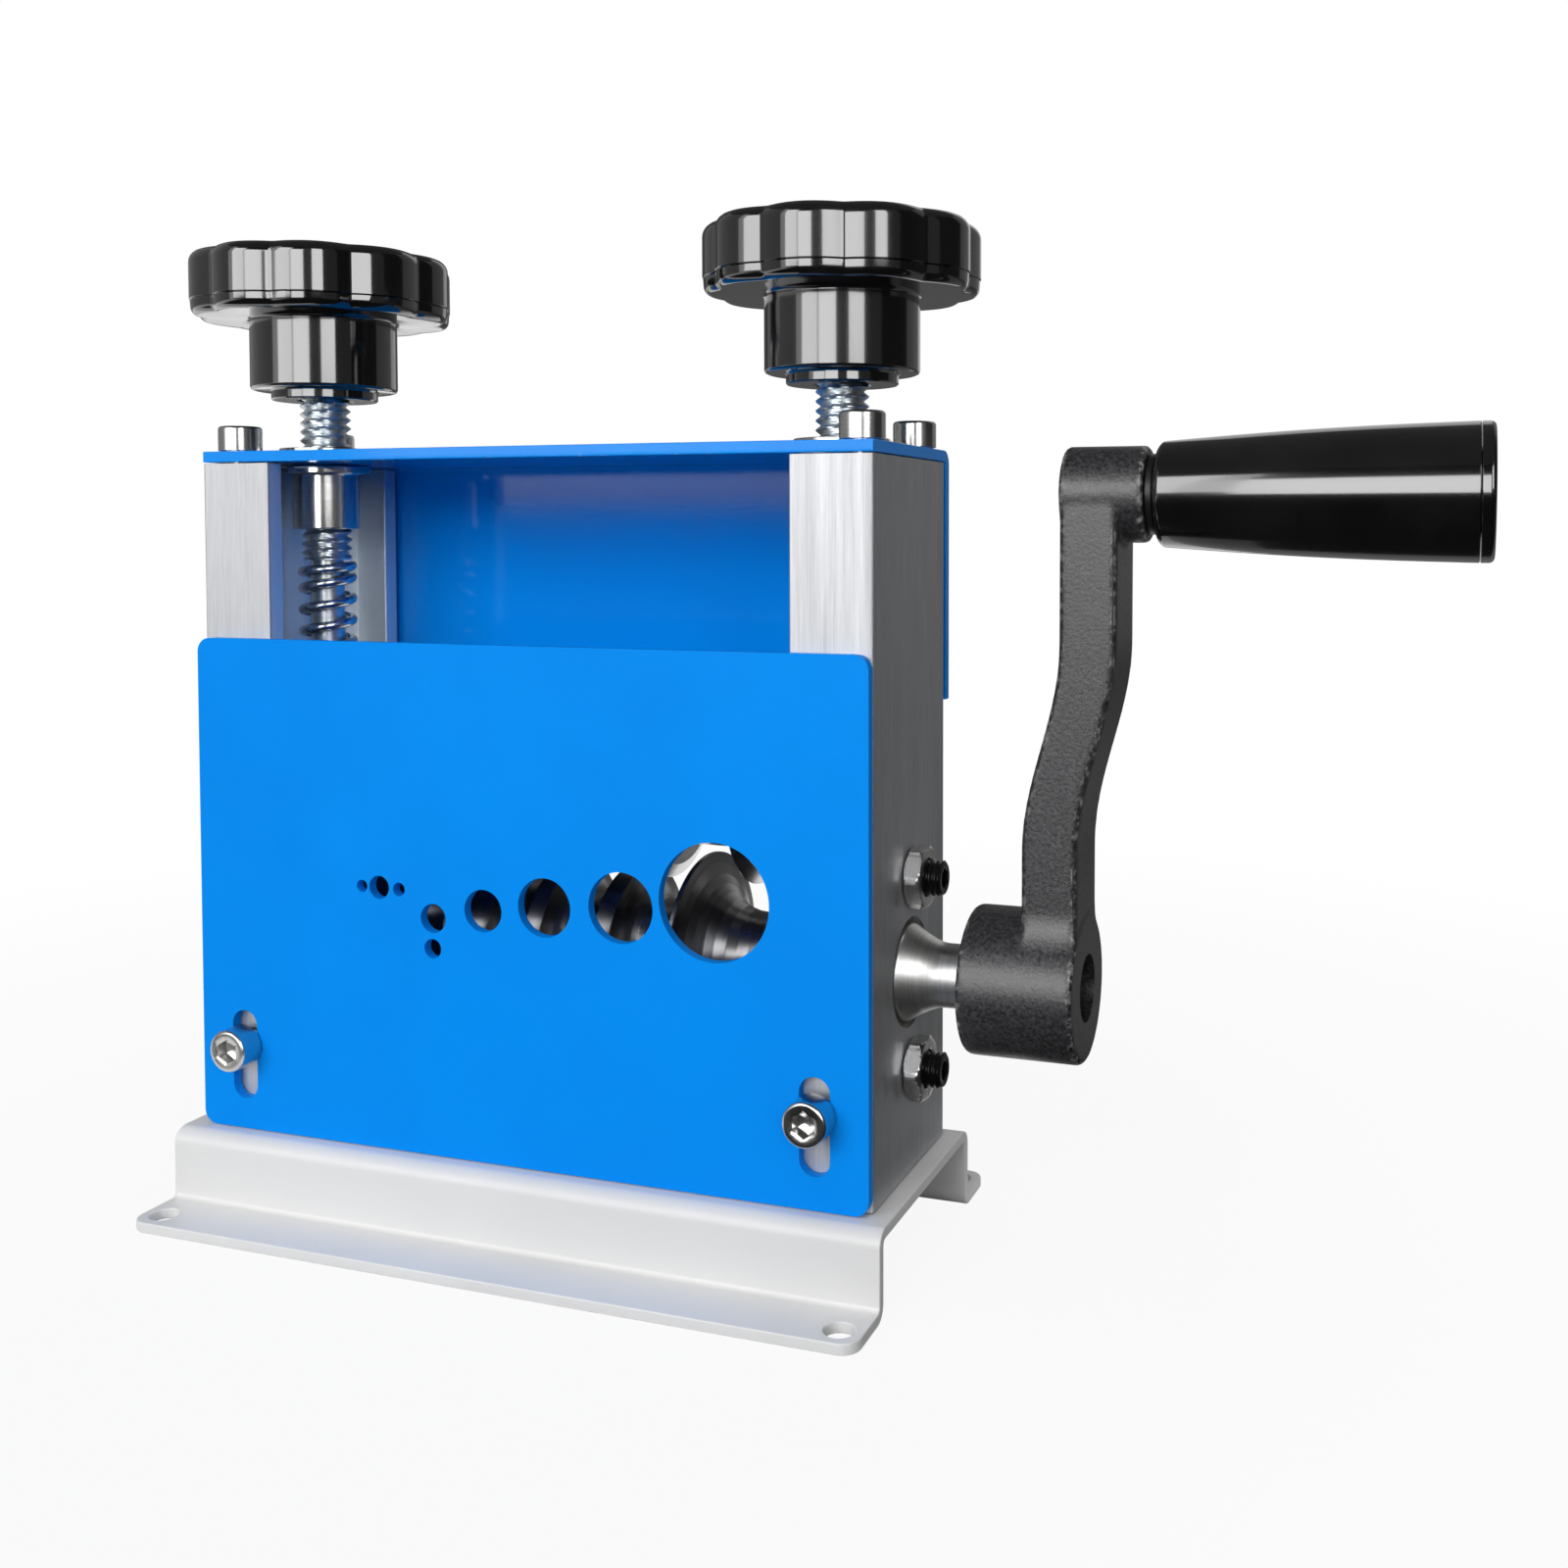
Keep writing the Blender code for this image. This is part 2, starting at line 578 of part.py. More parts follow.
def make_panel(look):
    """Guide panel: nine wire holes, and two slots that set its height."""
    middle = PANEL_BOTTOM + PANEL_HEIGHT / 2
    outline = rounded_rectangle(HALF_FRAME, PANEL_HEIGHT / 2, PANEL_CORNER)
    place = (0, PANEL_BACK, middle)
    # Drawn in its own plane and stood up, its own +Z facing the front.
    panel = prism("front_guide_panel", outline, 0, PANEL_SHEET, look, place, -Y_AXIS)
    cuts = []
    holes = [(x, rise, bore) for x, (bore, rise, _) in zip(BLADE_PLACES, GROOVE_HOLES)]
    holes += [(BLADE_PLACES[beside] + offset, rise, bore) for beside, offset, rise, bore in EXTRA_HOLES]
    for x, rise, bore in holes:
        count = FINE if bore > SHAFT else ROUND if bore > SLOT_WIDTH else SMALL
        place = (x, PANEL_BACK, FEED_HEIGHT + rise)
        cuts.append(drill(bore, -OVERRUN, PANEL_SHEET + OVERRUN, place, -Y_AXIS, count))
    for side in (-1, 1):
        slot = rounded_rectangle(SLOT_WIDTH / 2, SLOT_LENGTH / 2, SLOT_WIDTH / 2, 2 * CORNER_STEPS)
        slot = [point for index, point in enumerate(slot) if index == 0 or
                (Vector(point) - Vector(slot[index - 1])).length > GAP]
        cuts.append(mill(slot, -OVERRUN, PANEL_SHEET + OVERRUN,
                         (side * SLOT_X, PANEL_BACK, SLOT_HEIGHT), -Y_AXIS))
    return combine(panel, cuts)


def make_bearing_flange(look):
    """Two-bolt flange inside the right channel, with a boss for the bush."""
    outline = rounded_rectangle(PORT_Y - GAP, FLANGE_EAR, FLANGE_EAR_REACH)
    outer = CHANNEL_FLOOR - GAP
    # The outline is drawn in (y, z) and raised along x.
    mesh = prism_mesh("bearing_flange", outline, outer - FLANGE_PLATE, outer)
    mesh.transform(Matrix(((0, 0, 1, 0), (1, 0, 0, 0), (0, 1, 0, 0), (0, 0, 0, 1))))
    flange = add("bearing_flange", mesh, look, (0, 0, FEED_HEIGHT))
    boss = turned("boss", rod_section(FLANGE_BOSS / 2, SLIDE_MOUTH, outer - FLANGE_PLATE + EDGE),
                  None, (0, 0, FEED_HEIGHT), X_AXIS)
    combine(flange, [boss], "UNION")
    cuts = [drill(BUSH_OUTSIDE + 2 * GAP, SLIDE_MOUTH - OVERRUN, outer + OVERRUN,
                  (0, 0, FEED_HEIGHT), X_AXIS)]
    for sign in (-1, 1):
        height = FEED_HEIGHT + sign * FLANGE_STUD_PITCH / 2
        cuts.append(drill(STUD + 2 * GAP, outer - FLANGE_PLATE - OVERRUN, outer + OVERRUN,
                          (0, 0, height), X_AXIS))
    return combine(flange, cuts)


def make_bushes(look):
    """Bronze bushes of the feed shaft, each with a thrust flange."""
    bore = SHAFT / 2 + GAP
    outside = BUSH_OUTSIDE / 2
    rim = outside + BUSH_FLANGE_WIDTH
    right = [(bore, SLIDE_MOUTH), (outside, SLIDE_MOUTH), (outside, CHANNEL_FLOOR), (rim, CHANNEL_FLOOR),
             (rim, CHANNEL_FLOOR + BUSH_FLANGE_THICKNESS), (bore, CHANNEL_FLOOR + BUSH_FLANGE_THICKNESS)]
    inner = CHANNEL_FLOOR - GAP
    left = [(bore, -HALF_FRAME), (outside, -HALF_FRAME), (outside, -inner), (rim, -inner),
            (rim, BUSH_FLANGE_THICKNESS - inner), (bore, BUSH_FLANGE_THICKNESS - inner)]
    place = (0, 0, FEED_HEIGHT)
    return [turned("right_feed_bush", right, look, place, X_AXIS),
            turned("left_feed_bush", left, look, place, X_AXIS)]


def make_flange_fixings(stud_look, nut_look):
    """Set screws used as studs, with thin nuts outside the right channel."""
    pieces = []
    tip = CHANNEL_FLOOR - GAP - FLANGE_PLATE
    for name, sign in (("upper", 1), ("lower", -1)):
        height = FEED_HEIGHT + sign * FLANGE_STUD_PITCH / 2
        length = HALF_FRAME + STUD_STANDS_OUT - tip
        pieces.append(grub_screw(f"flange_stud_{name}", (tip, 0, height), X_AXIS, length,
                                 STUD, STUD_SOCKET, stud_look))
        nut = prism(f"flange_nut_{name}", hexagon(NUT_ACROSS_FLATS), 0, NUT_THICKNESS, nut_look,
                    (HALF_FRAME + GAP, 0, height), X_AXIS)
        # The nut's corners point to the front and the back.
        nut.rotation_euler = (Matrix.Rotation(pi / 2, 3, "X") @ Matrix.Rotation(pi / 2, 3, "Y")).to_euler()
        pieces.append(combine(nut, [drill(STUD + 2 * GAP, -OVERRUN, NUT_THICKNESS + OVERRUN,
                                          (HALF_FRAME + GAP, 0, height), X_AXIS, SMALL)]))
    return pieces


def feed_shaft_section():
    """Half section of the shaft: journal, collar, hollow flare and neck."""
    journal, collar, neck = SHAFT / 2, SHAFT_COLLAR / 2, SHAFT_NECK / 2
    flare_start = COLLAR_START + SHAFT_COLLAR_LENGTH
    seat = journal - RING_SEAT_DEPTH
    ring = RING_SEAT_LOW
    end = HUB_START + SHAFT_INTO_HUB
    section = [(0, -HALF_FRAME), (journal - EDGE, -HALF_FRAME), (journal, EDGE - HALF_FRAME),
               (journal, ring - GAP), (seat, ring - GAP), (seat, SLIDE_MOUTH), (journal, SLIDE_MOUTH),
               (journal, COLLAR_START), (collar, COLLAR_START)]
    for step in range(FLARE_STEPS + 1):
        share = step / FLARE_STEPS
        radius = neck + (collar - neck) * (1 - share) ** 2
        section.append((radius, flare_start + SHAFT_FLARE_LENGTH * share))
    return section + [(neck, end - EDGE), (neck - EDGE, end), (0, end)]


def roller_section():
    """Half section of the roller: a half-round groove behind each wire hole."""
    bore = SHAFT / 2 + GAP
    land = ROLLER / 2
    section = [(bore, ROLLER_LEFT_END), (land, ROLLER_LEFT_END)]
    for x, width in zip(BLADE_PLACES, GROOVE_WIDTHS):
        radius = width / 2
        if x == BLADE_PLACES[-1]:
            flange = x - radius - ROLLER_LIP
            section += [(land, flange), (ROLLER_FLANGE / 2, flange)]
            land = ROLLER_FLANGE / 2
        for step in range(GROOVE_STEPS + 1):
            turn = pi * step / GROOVE_STEPS
            section.append((land - radius * sin(turn), x - radius * cos(turn)))
    end = RING_SEAT_LOW - GAP
    return section + [(land, end), (bore, end)]


def make_feed(steel, dark_steel, black_steel):
    """Feed shaft, grooved roller, its grub screw and the shaft's ring."""
    place = (0, 0, FEED_HEIGHT)
    shaft = turned("feed_shaft", feed_shaft_section(), steel, place, X_AXIS)
    roller = turned("feed_roller", roller_section(), dark_steel, place, X_AXIS, FINE)
    grub_x = ROLLER_LEFT_END + ROLLER_GRUB_INSET
    length = ROLLER / 2 - SHAFT / 2 - EDGE - GAP
    tip = (grub_x, 0, FEED_HEIGHT - SHAFT / 2 - GAP)
    combine(roller, [drill(GRUB + 2 * GAP, -EDGE, length + OVERRUN, tip, -Z_AXIS, SMALL)])
    grub = grub_screw("roller_grub_screw", tip, -Z_AXIS, length, GRUB, GRUB / 2, black_steel)
    bore = SHAFT / 2 - RING_SEAT_DEPTH + GAP
    ring = turned("shaft_retaining_ring",
                  ring_section(bore, SHAFT_RING / 2, RING_SEAT_LOW, SLIDE_MOUTH - GAP),
                  black_steel, place, X_AXIS)
    return [shaft, roller, grub, ring]


def arm_middle(height):
    """Place across of the arm's middle, an S between two straight ends."""
    share = (height - FEED_HEIGHT - ARM_BEND_START) / (ARM_BEND_END - ARM_BEND_START)
    share = min(max(share, 0), 1)
    return ARM_LOW_X + ARM_OFFSET * (1 - cos(pi * share)) / 2


def arm_mesh():
    """Rounded bar swept up the arm's S."""
    bend = [FEED_HEIGHT + ARM_BEND_START + (ARM_BEND_END - ARM_BEND_START) * step / ARM_STEPS
            for step in range(ARM_STEPS + 1)]
    heights = [FEED_HEIGHT + ARM_SINK] + bend + [GRIP_HEIGHT - ARM_SINK]
    around = rounded_rectangle(ARM_THICKNESS / 2, ARM_WIDTH / 2, ARM_ROUNDING, 2)
    count = len(around)
    points = [(arm_middle(height) + x, y, height) for height in heights for x, y in around]
    faces = [list(range(count)), list(range(len(points) - count, len(points)))]
    for row in range(len(heights) - 1):
        for step in range(count):
            after = (step + 1) % count
            low, high = row * count, (row + 1) * count
            faces.append([low + step, low + after, high + after, high + step])
    return closed_mesh("arm", points, faces)


def make_crank(look, black_steel, steel):
    hub_place = (0, 0, FEED_HEIGHT)
    grip_place = (0, 0, GRIP_HEIGHT)
    crank = turned("crank_arm", rod_section(HUB / 2, HUB_START, HUB_END), look, hub_place, X_AXIS, FINE)
    arm = add("arm", arm_mesh(), None)
    boss = turned("boss", rod_section(BOSS / 2, BOSS_START, BOSS_END), None, grip_place, X_AXIS)
    combine(crank, [arm, boss], "UNION")
    thread_start = BOSS_END - SPINDLE_THREAD
    hub_bore = drill(SHAFT_NECK + 2 * GAP, HUB_START - OVERRUN, HUB_END + OVERRUN, hub_place, X_AXIS)
    boss_bore = drill(SPINDLE + 2 * GAP, thread_start - GAP, BOSS_END + OVERRUN, grip_place, X_AXIS)
    grub_tip = ((HUB_START + HUB_END) / 2, SHAFT_NECK / 2 + GAP, FEED_HEIGHT)
    grub_hole = drill(SCREW + 2 * GAP, -EDGE, HUB / 2, grub_tip, Y_AXIS, SMALL)
    combine(crank, [grub_hole, hub_bore, boss_bore])
    grub = grub_screw("crank_grub_screw", grub_tip, Y_AXIS, CRANK_GRUB_REACH - EDGE, SCREW,
                      SCREW / 2, black_steel)
    head = GRIP_START + GRIP_LENGTH - GRIP_COUNTERBORE + GAP
    half_spindle, half_head = SPINDLE / 2, SPINDLE_HEAD / 2
    section = [(0, thread_start), (half_spindle - EDGE, thread_start), (half_spindle, thread_start + EDGE),
               (half_spindle, head), (half_head, head), (half_head, head + SPINDLE_HEAD_THICKNESS),
               (0, head + SPINDLE_HEAD_THICKNESS)]
    spindle = turned("grip_spindle", section, steel, grip_place, X_AXIS, SMALL)
    washer_low = BOSS_END + GAP
    washer = turned("grip_washer", ring_section(half_spindle + GAP, GRIP_WASHER / 2, washer_low,
                                                washer_low + GRIP_WASHER_THICKNESS),
                    steel, grip_place, X_AXIS, SMALL)
    return [crank, grub, spindle, washer]


def make_grip(look):
    """Tapered grip that turns on the spindle, closed by a pressed-in cap."""
    place = (0, 0, GRIP_HEIGHT)
    small, large = GRIP_SMALL / 2, GRIP_LARGE / 2
    end = GRIP_START + GRIP_LENGTH
    bore, pocket = SPINDLE / 2 + GAP, SPINDLE_HEAD / 2 + GAP
    pocket_floor = end - GRIP_COUNTERBORE
    section = [(bore, GRIP_START), (small - GRIP_ROUNDING, GRIP_START)]
    for step in range(GRIP_STEPS + 1):
        share = step / GRIP_STEPS
        along = GRIP_START + GRIP_ROUNDING + (GRIP_LENGTH - GRIP_ROUNDING) * share
        section.append((small + (large - small) * share + GRIP_SWELL * sin(pi * share), along))
    section += [(pocket, end), (pocket, pocket_floor), (bore, pocket_floor)]
    grip = turned("handle_grip", section, look, place, X_AXIS, FINE)
    cap_low, cap_high = end + GAP, end + GAP + GRIP_CAP
    plug = pocket - GAP
    cap = turned("grip_end_cap", [(0, cap_low - CAP_PLUG), (plug, cap_low - CAP_PLUG), (plug, cap_low),
                                  (large, cap_low), (large, cap_high - GRIP_ROUNDING),
                                  (large - GRIP_ROUNDING, cap_high), (0, cap_high)],
                 look, place, X_AXIS, FINE)
    return [grip, cap]


def make_nut_bush(side, name, steel, washer_look):
    """Flanged nut under the cover, and the washer round its neck on top."""
    bore, body, neck = PRESSURE_SCREW / 2 + GAP, NUT_BUSH / 2, NUT_BUSH_NECK / 2
    rim = NUT_BUSH_FLANGE / 2
    seat = COVER_UNDERSIDE - GAP
    washer_low = COVER_TOP + GAP
    washer_high = washer_low + TOP_WASHER_THICKNESS
    low = seat - NUT_BUSH_DROP
    section = [(bore, low), (body, low), (body, seat - NUT_BUSH_FLANGE_THICKNESS),
               (rim, seat - NUT_BUSH_FLANGE_THICKNESS), (rim, seat), (neck, seat),
               (neck, washer_high), (bore, washer_high)]
    place = (side * SCREW_LINE, 0, 0)
    bush = turned(f"{name}_nut_bush", section, steel, place)
    washer = turned(f"{name}_top_washer", ring_section(neck + GAP, TOP_WASHER / 2, washer_low, washer_high),
                    washer_look, place)
    return [bush, washer]


def knob_section():
    """Half section of a knob about its own foot: collar, hub and lobed rim."""
    collar, hub, rim = KNOB_COLLAR / 2, KNOB_HUB / 2, KNOB_RIM / 2
    hub_low = KNOB_COLLAR_LENGTH
    rim_low = hub_low + KNOB_HUB_LENGTH
    rim_high = rim_low + KNOB_RIM_THICKNESS
    bore = PRESSURE_SCREW / 2 + GAP
    depth = KNOB_GRIP_OF_SCREW + GAP
    return [(0, depth), (bore, depth), (bore, 0), (collar - EDGE, 0), (collar, EDGE), (collar, hub_low),
            (hub - EDGE, hub_low), (hub, hub_low + EDGE), (hub, rim_low),
            (rim - KNOB_ROUNDING, rim_low), (rim - EDGE, rim_low + KNOB_PARTING - EDGE),
            (rim, rim_low + KNOB_PARTING), (rim, rim_high - KNOB_ROUNDING),
            (rim - KNOB_ROUNDING / 3, rim_high - KNOB_ROUNDING / 3), (rim - KNOB_ROUNDING, rim_high),
            (0, rim_high)]


def knob_waist(angle, radius, height):
    """Draw the rim in between its lobes and leave the hub round."""
    if radius <= KNOB_HUB / 2:
        return radius
    return radius - KNOB_LOBE_DEPTH * (1 - abs(cos(KNOB_LOBES * angle / 2))) ** 0.8


def spring_points(low, high, start):
    """Helix from low to high with closer end turns."""
    radius = (SPRING_OUTSIDE - SPRING_WIRE) / 2
    middle_turns = (high - low - 2 * SPRING_END_PITCH) / SPRING_PITCH
    turns = middle_turns + 2
    count = ceil(turns * CURL_POINTS)
    points = []
    for step in range(count + 1):
        turn = turns * step / count
        height = low + SPRING_END_PITCH * min(turn, 1)
        height += SPRING_PITCH * min(max(turn - 1, 0), middle_turns)
        height += SPRING_END_PITCH * max(turn - 1 - middle_turns, 0)
        angle = start + tau * turn
        points.append(Vector((radius * cos(angle), radius * sin(angle), height)))
    return points


def least_self_gap(points):
    """Least free space between turns, measured on the curve's own points."""
    away = CURL_POINTS // 2
    distances = [(a - b).length for index, a in enumerate(points) for b in points[index + away + 1:]]
    return min(distances) - SPRING_WIRE


def make_spring(name, side, look):
    low = BLOCK_TOP_HEIGHT + GAP + SPRING_WIRE / 2
    high = SCREW_SHOULDER_HEIGHT - GAP - SPRING_WIRE / 2
    points = spring_points(low, high, pi / 2)
    print(name, "least gap between its turns, mm:", round(least_self_gap(points) / MM, 2))
    curve = bpy.data.curves.new(name, "CURVE")
    curve.dimensions = "3D"
    curve.bevel_depth = SPRING_WIRE / 2
    curve.bevel_resolution = 1
    curve.use_fill_caps = True
    line = curve.splines.new("POLY")
    line.points.add(len(points) - 1)
    for point, place in zip(line.points, points):
        point.co = (*place, 1)
    spring = bpy.data.objects.new(name, curve)
    spring.location = (side * SCREW_LINE, 0, 0)
    bpy.context.scene.collection.objects.link(spring)
    curve.materials.append(look.copy())
    curve.materials[0].name = name
    return spring


def make_pressure_screw(name, side, turned_by, steel, black, ring_look):
    """Knob, its screw with a guide rod below, and the ring on the rod."""
    place = (side * SCREW_LINE, 0, 0)
    thread, rod = PRESSURE_SCREW / 2, ROD / 2
    seat = rod - RING_SEAT_DEPTH
    ring_low = RING_TOP - ROD_RING_THICKNESS
    low = ring_low - GAP - ROD_TIP
    high = KNOB_HEIGHT + KNOB_GRIP_OF_SCREW
    section = [(0, low), (rod, low), (rod, ring_low - GAP), (seat, ring_low - GAP), (seat, RING_TOP + GAP),
               (rod, RING_TOP + GAP), (rod, SCREW_SHOULDER_HEIGHT), (thread - EDGE, SCREW_SHOULDER_HEIGHT),
               (thread, SCREW_SHOULDER_HEIGHT + EDGE), (thread, high), (0, high)]
    screw = turned(f"{name}_pressure_screw", section, steel, place, count=SMALL)
    knob = turned(f"{name}_knob", knob_section(), black, (side * SCREW_LINE, 0, KNOB_HEIGHT),
                  count=KNOB_LOBES * KNOB_LOBE_POINTS, waist=knob_waist)
    knob.rotation_euler.z = turned_by
    ring = turned(f"{name}_rod_ring", ring_section(seat + GAP, ROD_RING / 2, ring_low, RING_TOP),
                  ring_look, place, count=SMALL)
    return knob, screw, ring


def make_slider_block(name, side, look):
    """Block that slides in a channel and carries one end of the blade shaft."""
    half = POCKET_HALF - GAP
    narrow = PORT_Y - GAP
    plan = [(BLOCK_FACE, -half), (SLIDE_SHOULDER, -half), (SLIDE_SHOULDER, -narrow), (SLIDE_FLOOR, -narrow),
            (SLIDE_FLOOR, narrow), (SLIDE_SHOULDER, narrow), (SLIDE_SHOULDER, half), (BLOCK_FACE, half)]
    slider = prism(name, [(side * x, y) for x, y in plan], BLADE_AXIS_HEIGHT - BLOCK_BOTTOM,
                   BLOCK_TOP_HEIGHT, look)
    low, high = sorted((side * (BLOCK_FACE - OVERRUN), side * (BLOCK_FACE + JOURNAL_LENGTH + GAP)))
    journal = drill(JOURNAL + 2 * GAP, low, high, (0, 0, BLADE_AXIS_HEIGHT), X_AXIS)
    x_low, x_high = sorted((side * SLIDE_SHOULDER, side * (SLIDE_FLOOR + OVERRUN)))
    relief = block((x_low, -half - OVERRUN, BLADE_AXIS_HEIGHT - BLOCK_BOTTOM - OVERRUN),
                   (x_high, half + OVERRUN, FEED_HEIGHT + FLANGE_EAR + BLOCK_OVER_EAR))
    room = ROD_RING / 2 + GAP
    x_low, x_high = sorted((side * (BLOCK_FACE - OVERRUN), side * (SCREW_LINE + room)))
    window = block((x_low, -room, BLOCK_TOP_HEIGHT - BLOCK_ROOF - RING_ROOM),
                   (x_high, room, BLOCK_TOP_HEIGHT - BLOCK_ROOF))
    rod_hole = drill(ROD + 2 * GAP, BLOCK_TOP_HEIGHT - BLOCK_ROOF - OVERRUN, BLOCK_TOP_HEIGHT + OVERRUN,
                     (side * SCREW_LINE, 0, 0), count=SMALL)
    return combine(slider, [relief, journal, window, rod_hole])


def make_blades(steel, blade_look, spacer_look):
    """Shaft, round blades over the grooves, spacers between them and a nut."""
    place = (0, 0, BLADE_AXIS_HEIGHT)
    arbor, journal = ARBOR / 2, JOURNAL / 2
    half_blade = BLADE_THICKNESS / 2
    collar_end = BLADE_PLACES[0] - half_blade - GAP
    nut_low = BLADE_PLACES[-1] + half_blade + GAP
    nut_high = nut_low + BLADE_NUT_THICKNESS
    shoulder = BLOCK_FACE - GAP
    tip = BLOCK_FACE + JOURNAL_LENGTH
    section = [(0, -tip), (journal - EDGE, -tip), (journal, EDGE - tip), (journal, -shoulder),
               (SPACER / 2, -shoulder), (SPACER / 2, collar_end), (arbor, collar_end), (arbor, nut_high),
               (arbor - EDGE, nut_high + EDGE), (arbor - EDGE, shoulder), (journal, shoulder),
               (journal, tip - EDGE), (journal - EDGE, tip), (0, tip)]
    pieces = [turned("blade_shaft", section, steel, place, X_AXIS)]
    bore, edge = BLADE_BORE / 2, BLADE / 2
    for number, x in enumerate(BLADE_PLACES, 1):
        disc = [(bore, -half_blade), (edge - BLADE_BEVEL, -half_blade), (edge, -BLADE_TIP / 2),
                (edge, BLADE_TIP / 2), (edge - BLADE_BEVEL, half_blade), (bore, half_blade)]
        pieces.append(turned(f"blade_{number}", disc, blade_look, (x, 0, BLADE_AXIS_HEIGHT), X_AXIS, FINE))
    for number, (left, right) in enumerate(zip(BLADE_PLACES, BLADE_PLACES[1:]), 1):
        low, high = left + half_blade + GAP, right - half_blade - GAP
        pieces.append(turned(f"blade_spacer_{number}", ring_section(bore, SPACER / 2, low, high),
                             spacer_look, place, X_AXIS))
    nut = prism("blade_shaft_nut", hexagon(BLADE_NUT_ACROSS_FLATS), nut_low, nut_high, steel, place, X_AXIS)
    pieces.append(combine(nut, [drill(BLADE_BORE, nut_low - OVERRUN, nut_high + OVERRUN, place, X_AXIS)]))
    return pieces


def build():
    clear_scene()
    blue = material("blue_powder_coat", (0.0, 0.28, 0.93), 0.3)
    grey_paint = material("grey_paint", (0.76, 0.75, 0.73), 0.45)
    aluminium = material("brushed_aluminium", (0.72, 0.73, 0.74), 0.38, 1.0)
    steel = material("bright_steel", (0.66, 0.66, 0.65), 0.28, 1.0)
    zinc = material("zinc_plate", (0.62, 0.67, 0.7), 0.3, 1.0)
    dark_steel = material("dark_steel", (0.12, 0.12, 0.125), 0.4, 0.9)
    blade_steel = material("blade_steel", (0.7, 0.7, 0.71), 0.22, 1.0)
    black_steel = material("black_oxide", (0.02, 0.02, 0.022), 0.42, 0.6)
    bronze = material("bronze", (0.55, 0.36, 0.16), 0.4, 1.0)
    black = material("black_phenolic", (0.008, 0.008, 0.009), 0.12)
    cast = material("cast_black", (0.05, 0.05, 0.052), 0.6, 0.3)

    make_base(grey_paint)
    make_channel("left_side_channel", -1, [(BUSH_OUTSIDE + 2 * GAP, FEED_HEIGHT)], aluminium)
    stud_heights = [FEED_HEIGHT - FLANGE_STUD_PITCH / 2, FEED_HEIGHT + FLANGE_STUD_PITCH / 2]
    make_channel("right_side_channel", 1, [(SHAFT_HOLE, FEED_HEIGHT)] +
                 [(STUD + 2 * GAP, height) for height in stud_heights], aluminium)
    make_cover(blue)
    for side, end, x, y in corner_places():
        cap_screw(f"cover_screw_{end}_{side}", (x, y, COVER_TOP + GAP), Z_AXIS,
                  GAP + COVER_SHEET + SCREW_REACH - OVERRUN, steel)
        cap_screw(f"base_screw_{end}_{side}", (x, y, BASE_HEIGHT - BASE_SHEET - GAP), -Z_AXIS,
                  GAP + BASE_SHEET + SCREW_REACH - OVERRUN, steel)
    panel = make_panel(blue)
    for name, side in (("left", -1), ("right", 1)):
        cap_screw(f"panel_screw_{name}", (side * SLOT_X, PANEL_FRONT - GAP, PANEL_SCREW_HEIGHT), -Y_AXIS,
                  GAP + PANEL_SHEET + GAP + CHANNEL_ARM, steel)
    make_bearing_flange(aluminium)
    make_bushes(bronze)
    make_flange_fixings(black_steel, steel)

    feed = make_feed(steel, dark_steel, black_steel) + make_crank(cast, black_steel, steel)
    grip = make_grip(black)
    feed_frame = joint_frame("feed_axis", (0, 0, FEED_HEIGHT), feed)
    joint_frame("grip_axis", (BOSS_END, 0, GRIP_HEIGHT), grip, feed_frame)
    joint_frame("panel_slide", (0, PANEL_BACK, PANEL_SCREW_HEIGHT), [panel])

    stack, sliders, screws = [], [], []
    for name, side, angle in (("left", -1, LEFT_KNOB_TURNED), ("right", 1, RIGHT_KNOB_TURNED)):
        make_nut_bush(side, name, zinc, zinc)
        knob, screw, ring = make_pressure_screw(name, side, angle, zinc, black, black_steel)
        screws.append((name, side, [knob, screw, ring]))
        stack.append(make_spring(f"{name}_spring", side, zinc))
        sliders.append(make_slider_block(f"{name}_slider_block", side, bronze))
    blades = make_blades(steel, blade_steel, steel)
    stack_frame = joint_frame("pressure_slide", (0, 0, SCREW_SHOULDER_HEIGHT), stack)
    for name, side, pieces in screws:
        joint_frame(f"{name}_screw_axis", (side * SCREW_LINE, 0, KNOB_HEIGHT), pieces, stack_frame)
    slider_frame = joint_frame("carriage_slide", (0, 0, BLADE_AXIS_HEIGHT), sliders, stack_frame)
    joint_frame("blade_axis", (0, 0, BLADE_AXIS_HEIGHT), blades, slider_frame)


build()
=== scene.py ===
# %% [markdown]
# # A hand crank wire stripper, dressed for a studio photograph
#
# The machine is a small bench frame. Two extruded aluminium channels stand on
# a folded grey base, a blue folded cover closes the top and the back, and a
# blue guide plate with wire holes closes the front. A crank turns a grooved
# feed roller, and two black knobs press round blades down on it.
#
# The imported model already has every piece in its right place. Here each piece
# gets a finer surface and a real finish, and keeps the place of the solid
# that it stands for.

